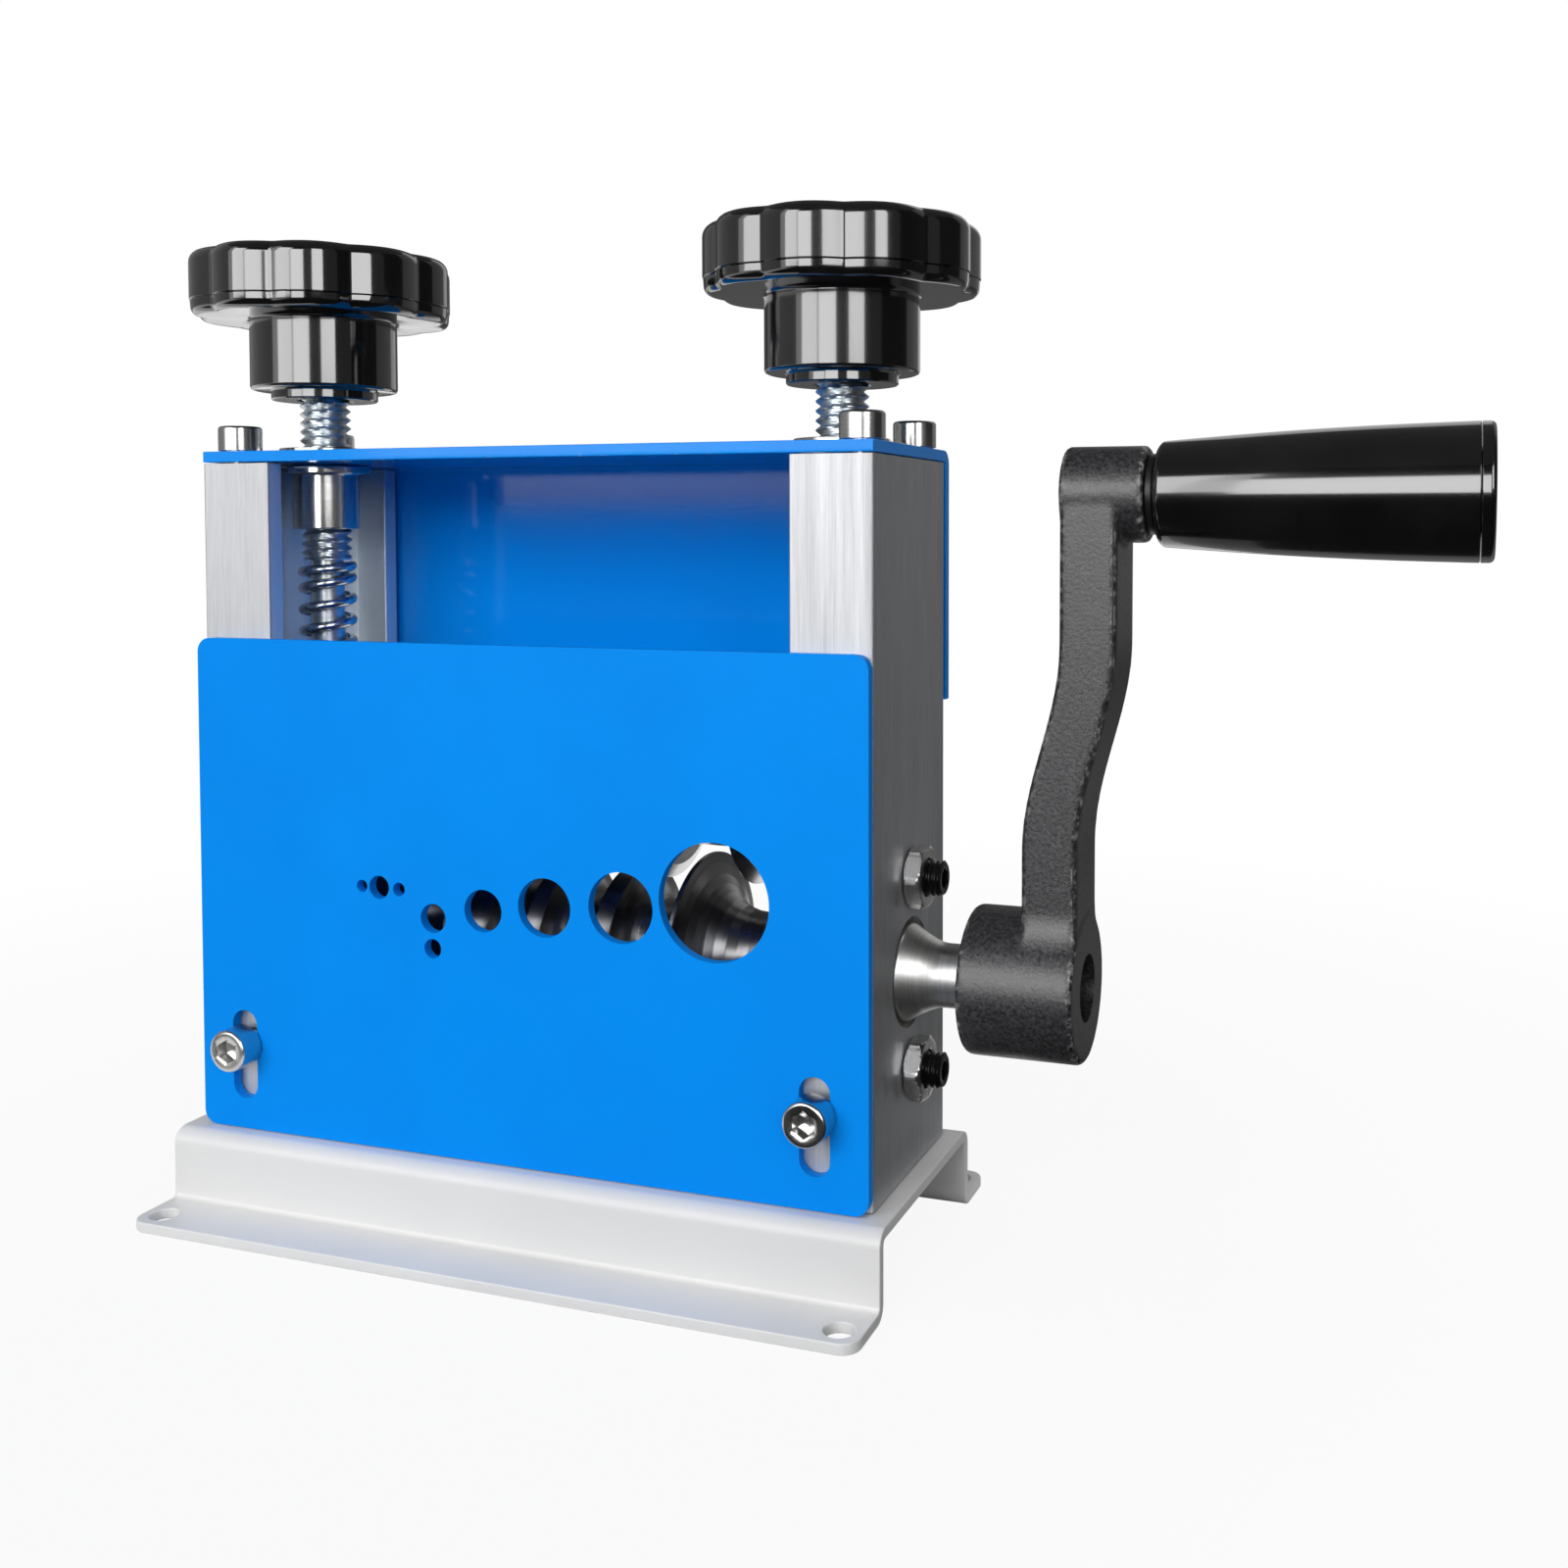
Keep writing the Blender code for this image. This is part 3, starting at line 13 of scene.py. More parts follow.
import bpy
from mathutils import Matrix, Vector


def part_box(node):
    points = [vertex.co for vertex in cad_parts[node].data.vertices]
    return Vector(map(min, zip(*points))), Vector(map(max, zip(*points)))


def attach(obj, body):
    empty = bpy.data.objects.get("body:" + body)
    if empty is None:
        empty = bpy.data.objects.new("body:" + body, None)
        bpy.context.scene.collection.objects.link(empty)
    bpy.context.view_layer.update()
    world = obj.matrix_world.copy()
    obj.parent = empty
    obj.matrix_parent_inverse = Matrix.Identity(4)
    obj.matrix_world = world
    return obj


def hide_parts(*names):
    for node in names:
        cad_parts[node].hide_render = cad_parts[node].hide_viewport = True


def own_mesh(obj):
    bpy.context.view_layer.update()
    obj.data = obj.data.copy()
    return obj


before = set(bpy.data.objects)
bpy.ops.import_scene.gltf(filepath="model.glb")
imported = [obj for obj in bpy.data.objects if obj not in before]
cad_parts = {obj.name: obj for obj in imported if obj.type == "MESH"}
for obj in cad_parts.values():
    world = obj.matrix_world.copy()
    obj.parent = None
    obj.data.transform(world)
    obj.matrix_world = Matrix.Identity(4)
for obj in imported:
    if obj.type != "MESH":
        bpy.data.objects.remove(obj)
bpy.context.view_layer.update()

# %% Tools of the trade
from math import cos, pi, radians, sin, sqrt, tau

import bmesh
import bpy
import numpy as np
from mathutils import Euler, Vector

MM = 0.001
scene = bpy.context.scene
scene.view_settings.view_transform = "Standard"
print("a millimetre is", MM, "of Blender's units")

# %% [markdown]
# ## The camera
#
# The place and the lens were solved from the photograph: the edges of the
# channels, plate and base were measured on it and matched by a camera that
# stands in front, to the right, a little under the height of the cover.
# A shift of the lens does the rest, so that upright edges stay upright.

# %% Set the camera
SENSOR_MM, FOCAL_MM = 36, 36.68
LENS_SHIFT = (-0.08425, -0.1168)
CAMERA_PLACE = (0.19978, -0.33418, 0.16162)
DOWN_DEGREES, ROLL, LEFT_DEGREES = 2.341, -0.00087, 18.652

lens = bpy.data.cameras.new("camera")
lens.sensor_width, lens.lens, lens.clip_start = SENSOR_MM, FOCAL_MM, 0.01
lens.shift_x, lens.shift_y = LENS_SHIFT
camera = bpy.data.objects.new("camera", lens)
camera.location = CAMERA_PLACE
camera.rotation_euler = Euler((radians(90 - DOWN_DEGREES), ROLL, radians(LEFT_DEGREES)), "XYZ")
scene.collection.objects.link(camera)
scene.camera = camera
print("camera stands at", [round(value, 3) for value in camera.location])

# %% [markdown]
# ## Shapes from arrays
#
# A shape here is a pair: an array of points in millimetres and a list of
# faces. Turned pieces are a profile carried round an axis, and folded or
# extruded ones are an outline carried straight along it. Both are worked out
# as whole arrays, so a screw thread or a lobed knob is only another formula
# for the radius.

# %% Directions of an axis
AXES = {
    "+X": ((0, 1, 0), (0, 0, 1), (1, 0, 0)),
    "+Y": ((0, 0, 1), (1, 0, 0), (0, 1, 0)),
    "-Y": ((1, 0, 0), (0, 0, 1), (0, -1, 0)),
    "+Z": ((1, 0, 0), (0, 1, 0), (0, 0, 1)),
    "-Z": ((0, 1, 0), (1, 0, 0), (0, 0, -1)),
}
ORIGIN = (0, 0, 0)


def placed(first, second, along, place, axis):
    """Points = place + first * u + second * v + along * w, with u, v, w the axis's directions."""
    parts = np.stack(np.broadcast_arrays(first, second, along), -1).astype(float)
    return np.array(place, float) + parts @ np.array(AXES[axis], float)


print("an axis has two directions across it and one along it:", AXES["+X"])


# %% Faces of a grid
def grid_faces(rows, sides, rows_close=False):
    """One quad between each pair of neighbours; every row closes round.

    With rows_close the last row meets the first as well.
    """
    row = np.arange(rows if rows_close else rows - 1)[:, None]
    side = np.arange(sides)[None, :]
    here, above, beside = row * sides, (row + 1) % rows * sides, (side + 1) % sides
    corners = (here + side, here + beside, above + beside, above + side)
    return np.stack(np.broadcast_arrays(*corners), -1).reshape(-1, 4).tolist()


print("a tube of 3 rings and 8 sides has", len(grid_faces(3, 8)), "faces")


# %% Rounded corners
TINY, MOST_OF_A_SIDE, SAME_POINT = 1e-12, 0.49, 1e-6


def soften(corners, reach, steps=4, closed=False):
    """Each corner becomes an arc, the conic (a(1-t)^2 + 2wct(1-t) + bt^2) / (sum of the weights).

    a and b lie reach away from the corner c, and w is the cosine of half the turn.
    """
    corners = np.asarray(corners, float)
    before, after = np.roll(corners, 1, 0), np.roll(corners, -1, 0)
    to_before, to_after = before - corners, after - corners
    long_before = np.linalg.norm(to_before, axis=1, keepdims=True) + TINY
    long_after = np.linalg.norm(to_after, axis=1, keepdims=True) + TINY
    reach = np.broadcast_to(np.asarray(reach, float).reshape(-1, 1), (len(corners), 1))
    reach = np.minimum(reach, MOST_OF_A_SIDE * np.minimum(long_before, long_after))
    start = corners + to_before / long_before * reach
    end = corners + to_after / long_after * reach
    turn = -(to_before / long_before * to_after / long_after).sum(1, keepdims=True)
    weight = np.sqrt(np.clip((1 + turn) / 2, 0.0001, 1))[:, None]
    t = np.linspace(0, 1, steps + 1)[None, :, None]
    near, middle, far = (1 - t) ** 2, 2 * weight * t * (1 - t), t ** 2
    curve = near * start[:, None] + middle * corners[:, None] + far * end[:, None]
    curve = curve / (near + middle + far)
    if not closed:
        curve[0], curve[-1] = corners[0], corners[-1]
    line = curve.reshape(-1, 2)
    gap = np.linalg.norm(line - np.roll(line, 1, 0), axis=1)
    gap[0] = gap[0] if closed else 1
    return line[gap > SAME_POINT]


def quarter(steps):
    """Angles of a quarter turn."""
    return np.linspace(0, pi / 2, steps)


print("a softened square has",
      len(soften([(0, 0), (1, 0), (1, 1), (0, 1)], 0.1, closed=True)), "points")


# %% Turned shapes
def revolved(along, radius, place, axis="+Z", ring=False):
    """Point (row, side) stands radius[row, side] from the axis, at an angle of tau * side / sides.

    A ring closes on itself; any other shape starts and ends in one point on the axis.
    """
    rows, sides = radius.shape
    angle = tau * np.arange(sides) / sides
    points = placed(radius * np.cos(angle), radius * np.sin(angle), along, place, axis)
    if ring:
        return points.reshape(-1, 3), grid_faces(rows, sides, True)
    inner = points[1:-1].reshape(-1, 3)
    side = np.arange(sides)
    fans = [np.stack([side, (side + 1) % sides, np.full(sides, len(inner) + end)], -1)
            for end in (0, 1)]
    fans[1][:, :2] += (rows - 3) * sides
    faces = grid_faces(rows - 2, sides) + fans[0].tolist() + fans[1].tolist()
    return np.vstack([inner, points[0, :1], points[-1, :1]]), faces


def lathe(profile, place=ORIGIN, axis="+Z", sides=96, edge=0.3, steps=3, ring=False):
    """A profile of (place along the axis, radius), softened and carried round the axis."""
    line = soften(profile, edge, steps, closed=ring)
    return revolved(line[:, :1], np.repeat(line[:, 1:], sides, 1), place, axis, ring)


def rod(low, high, radius, place=ORIGIN, axis="+Z", sides=96, edge=0.3):
    """A plain round bar from low to high."""
    return lathe([(low, 0), (low, radius), (high, radius), (high, 0)], place, axis, sides, edge)


def collar(low, high, inner, outer, place=ORIGIN, axis="+Z", sides=72, edge=0.2):
    """A plain ring from low to high, between an inner and an outer radius."""
    profile = [(low, inner), (low, outer), (high, outer), (high, inner)]
    return lathe(profile, place, axis, sides, edge, ring=True)


def capped(points):
    """Points (row, side) joined into a tube, with one face over each end."""
    rows, sides = points.shape[:2]
    caps = [list(range(sides)), list(range((rows - 1) * sides, rows * sides))]
    return points.reshape(-1, 3), grid_faces(rows, sides) + caps


def raised(outline, low, high, place=ORIGIN, axis="+Z"):
    """A flat outline carried straight from low to high, with a face at each end."""
    first, second = np.asarray(outline, float).T
    return capped(np.stack([placed(first, second, level, place, axis) for level in (low, high)]))


print("a plain pin has", len(rod(0, 9, 3)[1]), "faces")


# %% Meshes from shapes
def solid(name, *shapes):
    """One object of all the shapes, in metres, smooth, with its faces turned outwards."""
    points, faces, count = [], [], 0
    for shape_points, shape_faces in shapes:
        points.append(shape_points)
        faces += [[index + count for index in face] for face in shape_faces]
        count += len(shape_points)
    mesh = bpy.data.meshes.new(name)
    mesh.from_pydata((np.vstack(points) * MM).tolist(), [], faces)
    work = bmesh.new()
    work.from_mesh(mesh)
    bmesh.ops.recalc_face_normals(work, faces=work.faces)
    work.to_mesh(mesh)
    work.free()
    mesh.polygons.foreach_set("use_smooth", np.ones(len(mesh.polygons), bool))
    made = bpy.data.objects.new(name, mesh)
    scene.collection.objects.link(made)
    return made


def settle(made):
    """Makes what the modifiers show into the object's own mesh."""
    bpy.context.view_layer.update()
    graph = bpy.context.evaluated_depsgraph_get()
    mesh = bpy.data.meshes.new_from_object(made.evaluated_get(graph), depsgraph=graph)
    made.modifiers.clear()
    made.data = mesh
    return made


print("shapes become meshes at", MM, "metres to the millimetre")


# %% Cut and round
FLAT_WEIGHT, BEVEL_STEPS, SHARP_DEGREES = 80, 2, 35


def join_or_cut(made, kind, tool):
    """Adds an exact boolean of the kind named, with the object tool."""
    boolean = made.modifiers.new(kind.lower(), "BOOLEAN")
    boolean.operation, boolean.solver, boolean.object = kind, "EXACT", tool


def cut(made, *tools, edge=0.3):
    """Takes each tool's shape away, then rounds every sharp edge by edge millimetres."""
    cutters = [solid("tool", tool) for tool in tools]
    for cutter in cutters:
        join_or_cut(made, "DIFFERENCE", cutter)
    if edge:
        bevel = made.modifiers.new("edge", "BEVEL")
        bevel.width, bevel.segments = edge * MM, BEVEL_STEPS
        bevel.limit_method, bevel.angle_limit = "ANGLE", radians(SHARP_DEGREES)
        made.modifiers.new("flats", "WEIGHTED_NORMAL").weight = FLAT_WEIGHT
    settle(made)
    for cutter in cutters:
        bpy.data.objects.remove(cutter)
    return made


def hole(diameter, low, high, place=ORIGIN, axis="+Z", sides=72):
    """The round tool for a bore."""
    return rod(low, high, diameter / 2, place, axis, sides, edge=0)


print("holes are cut with", len(hole(8, 0, 1)[1]), "faces")

# %% [markdown]
# ## Finishes
#
# Each finish is a Principled shader with its own pattern for colour,
# roughness and bump. Four effects come back in several of them and are node
# groups: drawn lines, turning lines, grain, and wear along edges. They read
# the place on the object, so nothing slides when a piece moves.


# %% Small helpers for nodes
def add_node(tree, kind, inputs=None, **settings):
    """A node with its settings, and its inputs set or linked by name or number."""
    made = tree.nodes.new(kind)
    for name, value in settings.items():
        setattr(made, name, value)
    for name, value in (inputs or {}).items():
        if isinstance(value, bpy.types.NodeSocket):
            tree.links.new(value, made.inputs[name])
        else:
            made.inputs[name].default_value = value
    return made


def object_place(tree):
    """The place on the object, in metres."""
    return add_node(tree, "ShaderNodeTexCoord").outputs["Object"]


def noise(tree, place, scale, detail, roughness):
    """Soft noise with scale waves to the metre, and finer ones laid over them."""
    inputs = {"Vector": place, "Scale": scale, "Detail": detail, "Roughness": roughness}
    return add_node(tree, "ShaderNodeTexNoise", inputs).outputs[0]


def spread(tree, value, start, end, low=0.0, high=1.0):
    """Runs from low to high while value runs from start to end."""
    inputs = {0: value, 1: start, 2: end, 3: low, 4: high}
    return add_node(tree, "ShaderNodeMapRange", inputs).outputs[0]


def maths(tree, operation, first, second):
    """A sum, product or comparison of two numbers."""
    return add_node(tree, "ShaderNodeMath", {0: first, 1: second}, operation=operation).outputs[0]


def vectors(tree, operation, first, second=None):
    """The same for vectors; a length or a dot product comes out as a number."""
    inputs = {0: first}
    if second is not None:
        inputs["Scale" if operation == "SCALE" else 1] = second
    made = add_node(tree, "ShaderNodeVectorMath", inputs, operation=operation)
    return made.outputs["Value" if operation in ("LENGTH", "DOT_PRODUCT") else 0]


def effect_group(name, outputs, **inputs):
    """A node group: named inputs with their first values, and outputs that are numbers."""
    group = bpy.data.node_groups.new(name, "ShaderNodeTree")
    for label, value in inputs.items():
        kind = "NodeSocketVector" if isinstance(value, tuple) else "NodeSocketFloat"
        socket = group.interface.new_socket(label, in_out="INPUT", socket_type=kind)
        socket.default_value = value
    for label in outputs:
        group.interface.new_socket(label, in_out="OUTPUT", socket_type="NodeSocketFloat")
    given, result = group.nodes.new("NodeGroupInput"), group.nodes.new("NodeGroupOutput")
    return group, given.outputs, result.inputs


print("node helpers are ready")


# %% Drawn lines
def make_drawn_lines():
    """Noise of the place times Stretch: long where Stretch is small, fine where it is large."""
    group, given, result = effect_group("drawn lines", ("Lines", "Bands"), Stretch=(1, 1, 1))
    stretched = vectors(group, "MULTIPLY", object_place(group), given["Stretch"])
    group.links.new(noise(group, stretched, 1.0, 3.0, 0.65), result["Lines"])
    group.links.new(noise(group, stretched, 0.11, 2.0, 0.5), result["Bands"])
    return group


DRAWN_LINES = make_drawn_lines()
print(DRAWN_LINES.name, "has", len(DRAWN_LINES.nodes), "nodes")


# %% Turning lines
def make_turning_lines():
    """Noise of (distance along the axis, distance from it): rings on a side, circles on an end."""
    group, given, result = effect_group(
        "turning lines", ("Lines",), Centre=(0, 0, 0), Axis=(0, 0, 1), Fineness=3000.0)
    away = vectors(group, "SUBTRACT", object_place(group), given["Centre"])
    along = vectors(group, "DOT_PRODUCT", away, given["Axis"])
    across = vectors(group, "SUBTRACT", away, vectors(group, "SCALE", given["Axis"], along))
    radius = vectors(group, "LENGTH", across)
    pair = add_node(group, "ShaderNodeCombineXYZ", {0: along, 1: radius}).outputs[0]
    group.links.new(noise(group, pair, given["Fineness"], 2.0, 0.6), result["Lines"])
    return group


TURNING_LINES = make_turning_lines()
print(TURNING_LINES.name, "has", len(TURNING_LINES.nodes), "nodes")


# %% Grain
def make_grain():
    """Two sizes of noise: Height is fine and makes the bump, Clouds change slowly."""
    group, given, result = effect_group(
        "grain", ("Height", "Clouds"), Fineness=1000.0, Cloudiness=30.0)
    place = object_place(group)
    group.links.new(noise(group, place, given["Fineness"], 3.0, 0.55), result["Height"])
    group.links.new(noise(group, place, given["Cloudiness"], 2.0, 0.5), result["Clouds"])
    return group


GRAIN = make_grain()
print(GRAIN.name, "has", len(GRAIN.nodes), "nodes")


# %% Edge wear
def make_edge_wear():
    """The mesh's own edge mark, broken up by noise: 1 where the finish has rubbed off."""
    group, given, result = effect_group("edge wear", ("Mask",), Patchiness=400.0, Amount=0.5)
    patches = noise(group, object_place(group), given["Patchiness"], 4.0, 0.7)
    level = spread(group, maths(group, "ADD", patches, given["Amount"]), 0.95, 1.1)
    mark = add_node(group, "ShaderNodeAttribute", attribute_name="edge").outputs["Fac"]
    group.links.new(maths(group, "MULTIPLY", level, mark), result["Mask"])
    return group


EDGE_WEAR = make_edge_wear()
print(EDGE_WEAR.name, "reads the mark that a piece carries on its edges")


# %% Mark the edges of a piece
def mark_edges(made, low=25, high=42):
    """Per vertex: its edges' sharpest outward bend in degrees, from 0 at low to 1 at high."""
    mesh = made.data
    faces, loops = len(mesh.polygons), len(mesh.loops)
    normal, centre = np.empty(faces * 3), np.empty(faces * 3)
    mesh.polygons.foreach_get("normal", normal)
    mesh.polygons.foreach_get("center", centre)
    normal, centre = normal.reshape(-1, 3), centre.reshape(-1, 3)
    sizes, edge_of = np.empty(faces, int), np.empty(loops, int)
    ends = np.empty(len(mesh.edges) * 2, int)
    mesh.polygons.foreach_get("loop_total", sizes)
    mesh.loops.foreach_get("edge_index", edge_of)
    mesh.edges.foreach_get("vertices", ends)
    order = np.argsort(edge_of, kind="stable")
    owner, sorted_edges = np.repeat(np.arange(faces), sizes)[order], edge_of[order]
    pair = np.flatnonzero(sorted_edges[1:] == sorted_edges[:-1])
    one, other = owner[pair], owner[pair + 1]
    bend = np.degrees(np.arccos(np.clip((normal[one] * normal[other]).sum(1), -1, 1)))
    outward = ((centre[other] - centre[one]) * normal[one]).sum(1) < 0
    bend, ends = np.where(outward, bend, 0), ends.reshape(-1, 2)[sorted_edges[pair]]
    mark = np.zeros(len(mesh.vertices))
    for end in (0, 1):
        np.maximum.at(mark, ends[:, end], bend)
    mark = np.clip((mark - low) / (high - low), 0, 1)
    attribute = mesh.attributes.new("edge", "FLOAT", "POINT")
    attribute.data.foreach_set("value", mark.astype(np.float32))
    return made


print("edges are marked by how far the faces on both sides bend away")


# %% A finish and its shader
def tint(tree, value, first, second, start, end):
    """A colour that runs from first to second while value runs from start to end."""
    first = first if isinstance(first, bpy.types.NodeSocket) else (*first, 1)
    inputs = {0: spread(tree, value, start, end), 6: first, 7: (*second, 1)}
    return add_node(tree, "ShaderNodeMix", inputs, data_type="RGBA").outputs[2]


def finish(name, colour, roughness, effects, layers, rough, relief, ground=None, **sockets):
    """A material with one Principled shader, whose patterns are the outputs of its effects.

    Its colour starts from ground, or else from colour, and each layer (pattern, colour, start,
    end) covers what lies under it. rough is (pattern, low, high), and relief is (pattern,
    strength, depth in millimetres). What is the same all over is set on the shader's sockets.
    """
    made = bpy.data.materials.new(name)
    made.use_nodes = True
    made.diffuse_color = (*colour, 1)
    tree = made.node_tree
    shader = tree.nodes["Principled BSDF"].inputs
    for label, value in {"Base Color": (*colour, 1), "Roughness": roughness, **sockets}.items():
        shader[label.replace("_", " ")].default_value = value
    pattern = {}
    for group, values in effects:
        pattern.update(add_node(tree, "ShaderNodeGroup", values, node_tree=group).outputs.items())
    base = ground or colour
    for label, over, start, end in layers:
        base = tint(tree, pattern[label], base, over, start, end)
    tree.links.new(base, shader["Base Color"])
    label, low, high = rough
    tree.links.new(spread(tree, pattern[label], 0.3, 0.7, low, high), shader["Roughness"])
    label, strength, depth = relief
    height = {"Height": pattern[label], "Strength": strength, "Distance": depth * MM}
    tree.links.new(add_node(tree, "ShaderNodeBump", height).outputs[0], shader["Normal"])
    return made


def add_layer(made, value, colour, start, end):
    """Lays one more colour over a finished material while value runs from start to end."""
    tree = made.node_tree
    base = tree.nodes["Principled BSDF"].inputs["Base Color"]
    tree.links.new(tint(tree, value, base.links[0].from_socket, colour, start, end), base)


def grain(fineness, cloudiness):
    """The grain effect with its two scales, for a finish."""
    return GRAIN, {"Fineness": fineness, "Cloudiness": cloudiness}


def wear(patchiness, amount):
    """The edge wear effect with its patches, for a finish."""
    return EDGE_WEAR, {"Patchiness": patchiness, "Amount": amount}


def darker(colour, share):
    """The colour times a share."""
    return tuple(share * part for part in colour)


print("a finish is one shader, its effects and their layers")

# %% [markdown]
# ### Blue powder coat
#
# The cover and the guide plate are powder coated in a strong sky blue. The
# flat plate is matt. The cover is glossy with an orange peel, which breaks
# up what mirrors in its back wall, and has pale chips where tools have
# touched its front edge. A bump from fine noise gives the peel, and the edge
# mark keeps the chips on the edges.

# %% Blue powder coat
BLUE, DEEP_BLUE, CHIP_BLUE = (0.0012, 0.287, 0.935), (0.0012, 0.262, 0.88), (0.42, 0.7, 0.95)


def make_blue_coat(name, gloss, roughness, peel, amount):
    """Powder coat: peel is the height of its orange peel, amount how much of an edge is chipped."""
    return finish(name, BLUE, roughness, [grain(900.0, 25.0), wear(260.0, amount)],
                  [("Clouds", DEEP_BLUE, 0.35, 0.75), ("Mask", CHIP_BLUE, 0.2, 1.0)],
                  ("Clouds", 0.8 * roughness, 1.2 * roughness), ("Height", peel, 0.05),
                  Specular_IOR_Level=gloss)


PLATE_BLUE = make_blue_coat("blue coat of the plate", 0.03, 0.42, 0.12, 0.25)
COVER_BLUE = make_blue_coat("blue coat of the cover", 0.16, 0.08, 0.18, 0.4)
print("blue coats:", PLATE_BLUE.name, "and", COVER_BLUE.name)

# %% [markdown]
# ### Grey paint of the base
#
# The base is painted a pale, slightly glossy grey. A few small chips on its
# edges show the dark primer.

# %% Grey paint
GREY, DULL_GREY, PRIMER = (0.8, 0.796, 0.788), (0.74, 0.738, 0.732), (0.12, 0.12, 0.12)
GREY_PAINT = finish("pale grey paint", GREY, 0.4, [grain(700.0, 18.0), wear(180.0, 0.33)],
                    [("Clouds", DULL_GREY, 0.4, 0.8), ("Mask", PRIMER, 0.3, 1.0)],
                    ("Clouds", 0.32, 0.48), ("Height", 0.12, 0.06), Specular_IOR_Level=0.35)
print(GREY_PAINT.name, "has a colour of", GREY)

# %% [markdown]
# ### Brushed aluminium
#
# The channels are cut from an extrusion and brushed upwards, so the drawn
# lines run along Z: noise that is stretched 40 times longer that way than
# across. The lines change the roughness as well as the height, which is what
# breaks up a highlight on brushed metal. Their inner faces get a painted
# sheen, a lighter and slightly blue colour that stands in for the light and
# the blue cover they reflect. It is laid on wherever a point lies under their
# outer skin.

# %% Brushed aluminium
ALUMINIUM, CAST_ALUMINIUM, PAINTED_INNER_SHEEN = (0.62, 0.63, 0.65), (0.6, 0.6, 0.61), (0.9, 0.96, 0.97)


def make_brushed(name, colour, stretch, roughness):
    """Metal with drawn lines, and with bands of lines that change its gloss."""
    return finish(name, colour, roughness, [(DRAWN_LINES, {"Stretch": stretch})],
                  [("Lines", colour, 0.3, 0.7)], ("Bands", roughness - 0.07, roughness + 0.09),
                  ("Lines", 0.25, 0.02), ground=darker(colour, 0.8), Metallic=1.0)


def paint_inner_sheen(made, half_width, half_depth, bright):
    """Lays the painted sheen colour on where |x| < half_width and |y| < half_depth, in metres."""
    tree = made.node_tree
    size = vectors(tree, "ABSOLUTE", object_place(tree))
    apart = add_node(tree, "ShaderNodeSeparateXYZ", {0: size}).outputs
    under = [maths(tree, "LESS_THAN", apart[0], half_width),
             maths(tree, "LESS_THAN", apart[1], half_depth)]
    add_layer(made, maths(tree, "MULTIPLY", *under), bright, 0.0, 1.3)


CHANNEL_ALUMINIUM = make_brushed("brushed aluminium", ALUMINIUM, (2600, 2600, 60), 0.56)
# Painted sheen: the inner faces of the channels are made lighter and slightly blue, for the light
# they reflect.
paint_inner_sheen(CHANNEL_ALUMINIUM, 0.0853, 0.0237, PAINTED_INNER_SHEEN)
FLANGE_ALUMINIUM = make_brushed("cast aluminium", CAST_ALUMINIUM, (900, 900, 900), 0.45)
print("lines run along Z on", CHANNEL_ALUMINIUM.name)

# %% [markdown]
# ### Turned and plated steel
#
# Screws, bushes and shafts were turned, then left bright or zinc plated.
# Fine rings round their own axis show it. The pieces lie on a few axes, so
# one function makes a finish for an axis.


# %% Turned metal
def make_turned(name, colour, roughness, centre, axis, fineness=3500.0, depth=0.012):
    """Metal with rings round an axis through centre, in millimetres."""
    rings = {"Centre": tuple(part * MM for part in centre), "Axis": axis, "Fineness": fineness}
    return finish(name, colour, roughness, [(TURNING_LINES, rings), grain(500.0, 60.0)],
                  [("Lines", colour, 0.3, 0.65)],
                  ("Clouds", max(roughness - 0.05, 0.05), roughness + 0.07),
                  ("Lines", 0.3, depth), ground=darker(colour, 0.82), Metallic=1.0)


FEED_Z, BLADE_Z, GRIP_Z = 64.3, 103.0, 170.3
FEED_AXIS, BLADE_AXIS, GRIP_AXIS = (0, 0, FEED_Z), (0, 0, BLADE_Z), (0, 0, GRIP_Z)
ALONG_X, ALONG_Y, UPWARD = (1, 0, 0), (0, 1, 0), (0, 0, 1)
BRIGHT, ZINC, BLADE = (0.66, 0.655, 0.645), (0.66, 0.7, 0.72), (0.7, 0.7, 0.71)
DARK_STEEL, BRONZE, SHADE_IN_CRANK_BORE = (0.2, 0.2, 0.205), (0.5, 0.32, 0.14), (0.03, 0.03, 0.03)

SHAFT_STEEL = make_turned("bright turned steel", BRIGHT, 0.36, FEED_AXIS, ALONG_X)
# Beyond 118.5 mm the shaft's end lies in the crank's bore. It is coloured near black there as
# painted shade of that deep bore.
lengthwise = add_node(SHAFT_STEEL.node_tree, "ShaderNodeSeparateXYZ",
                      {0: object_place(SHAFT_STEEL.node_tree)}).outputs[0]
add_layer(SHAFT_STEEL, lengthwise, SHADE_IN_CRANK_BORE, 0.1185, 0.1195)
ROLLER_STEEL = make_turned("dark turned steel", DARK_STEEL, 0.3, FEED_AXIS, ALONG_X, 1800.0, 0.03)
BLADE_STEEL = make_turned("ground blade steel", BLADE, 0.18, BLADE_AXIS, ALONG_X, 2400.0)
SPINDLE_STEEL = make_turned("bright spindle steel", BRIGHT, 0.26, GRIP_AXIS, ALONG_X)
BUSH_BRONZE = make_turned("bronze", BRONZE, 0.34, FEED_AXIS, ALONG_X)
print("turned finishes share the axis at heights", FEED_Z, BLADE_Z, GRIP_Z)

# %% [markdown]
# ### Black finishes
#
# The knobs are pressed from black phenolic resin and polished, so they
# mirror the bright strips of the studio as upright stripes. The crank is cast
# iron in thin black paint: rough, grainy and rubbed grey along its edges.
# Studs and small screws are blackened steel, and the grip is smooth black
# plastic.


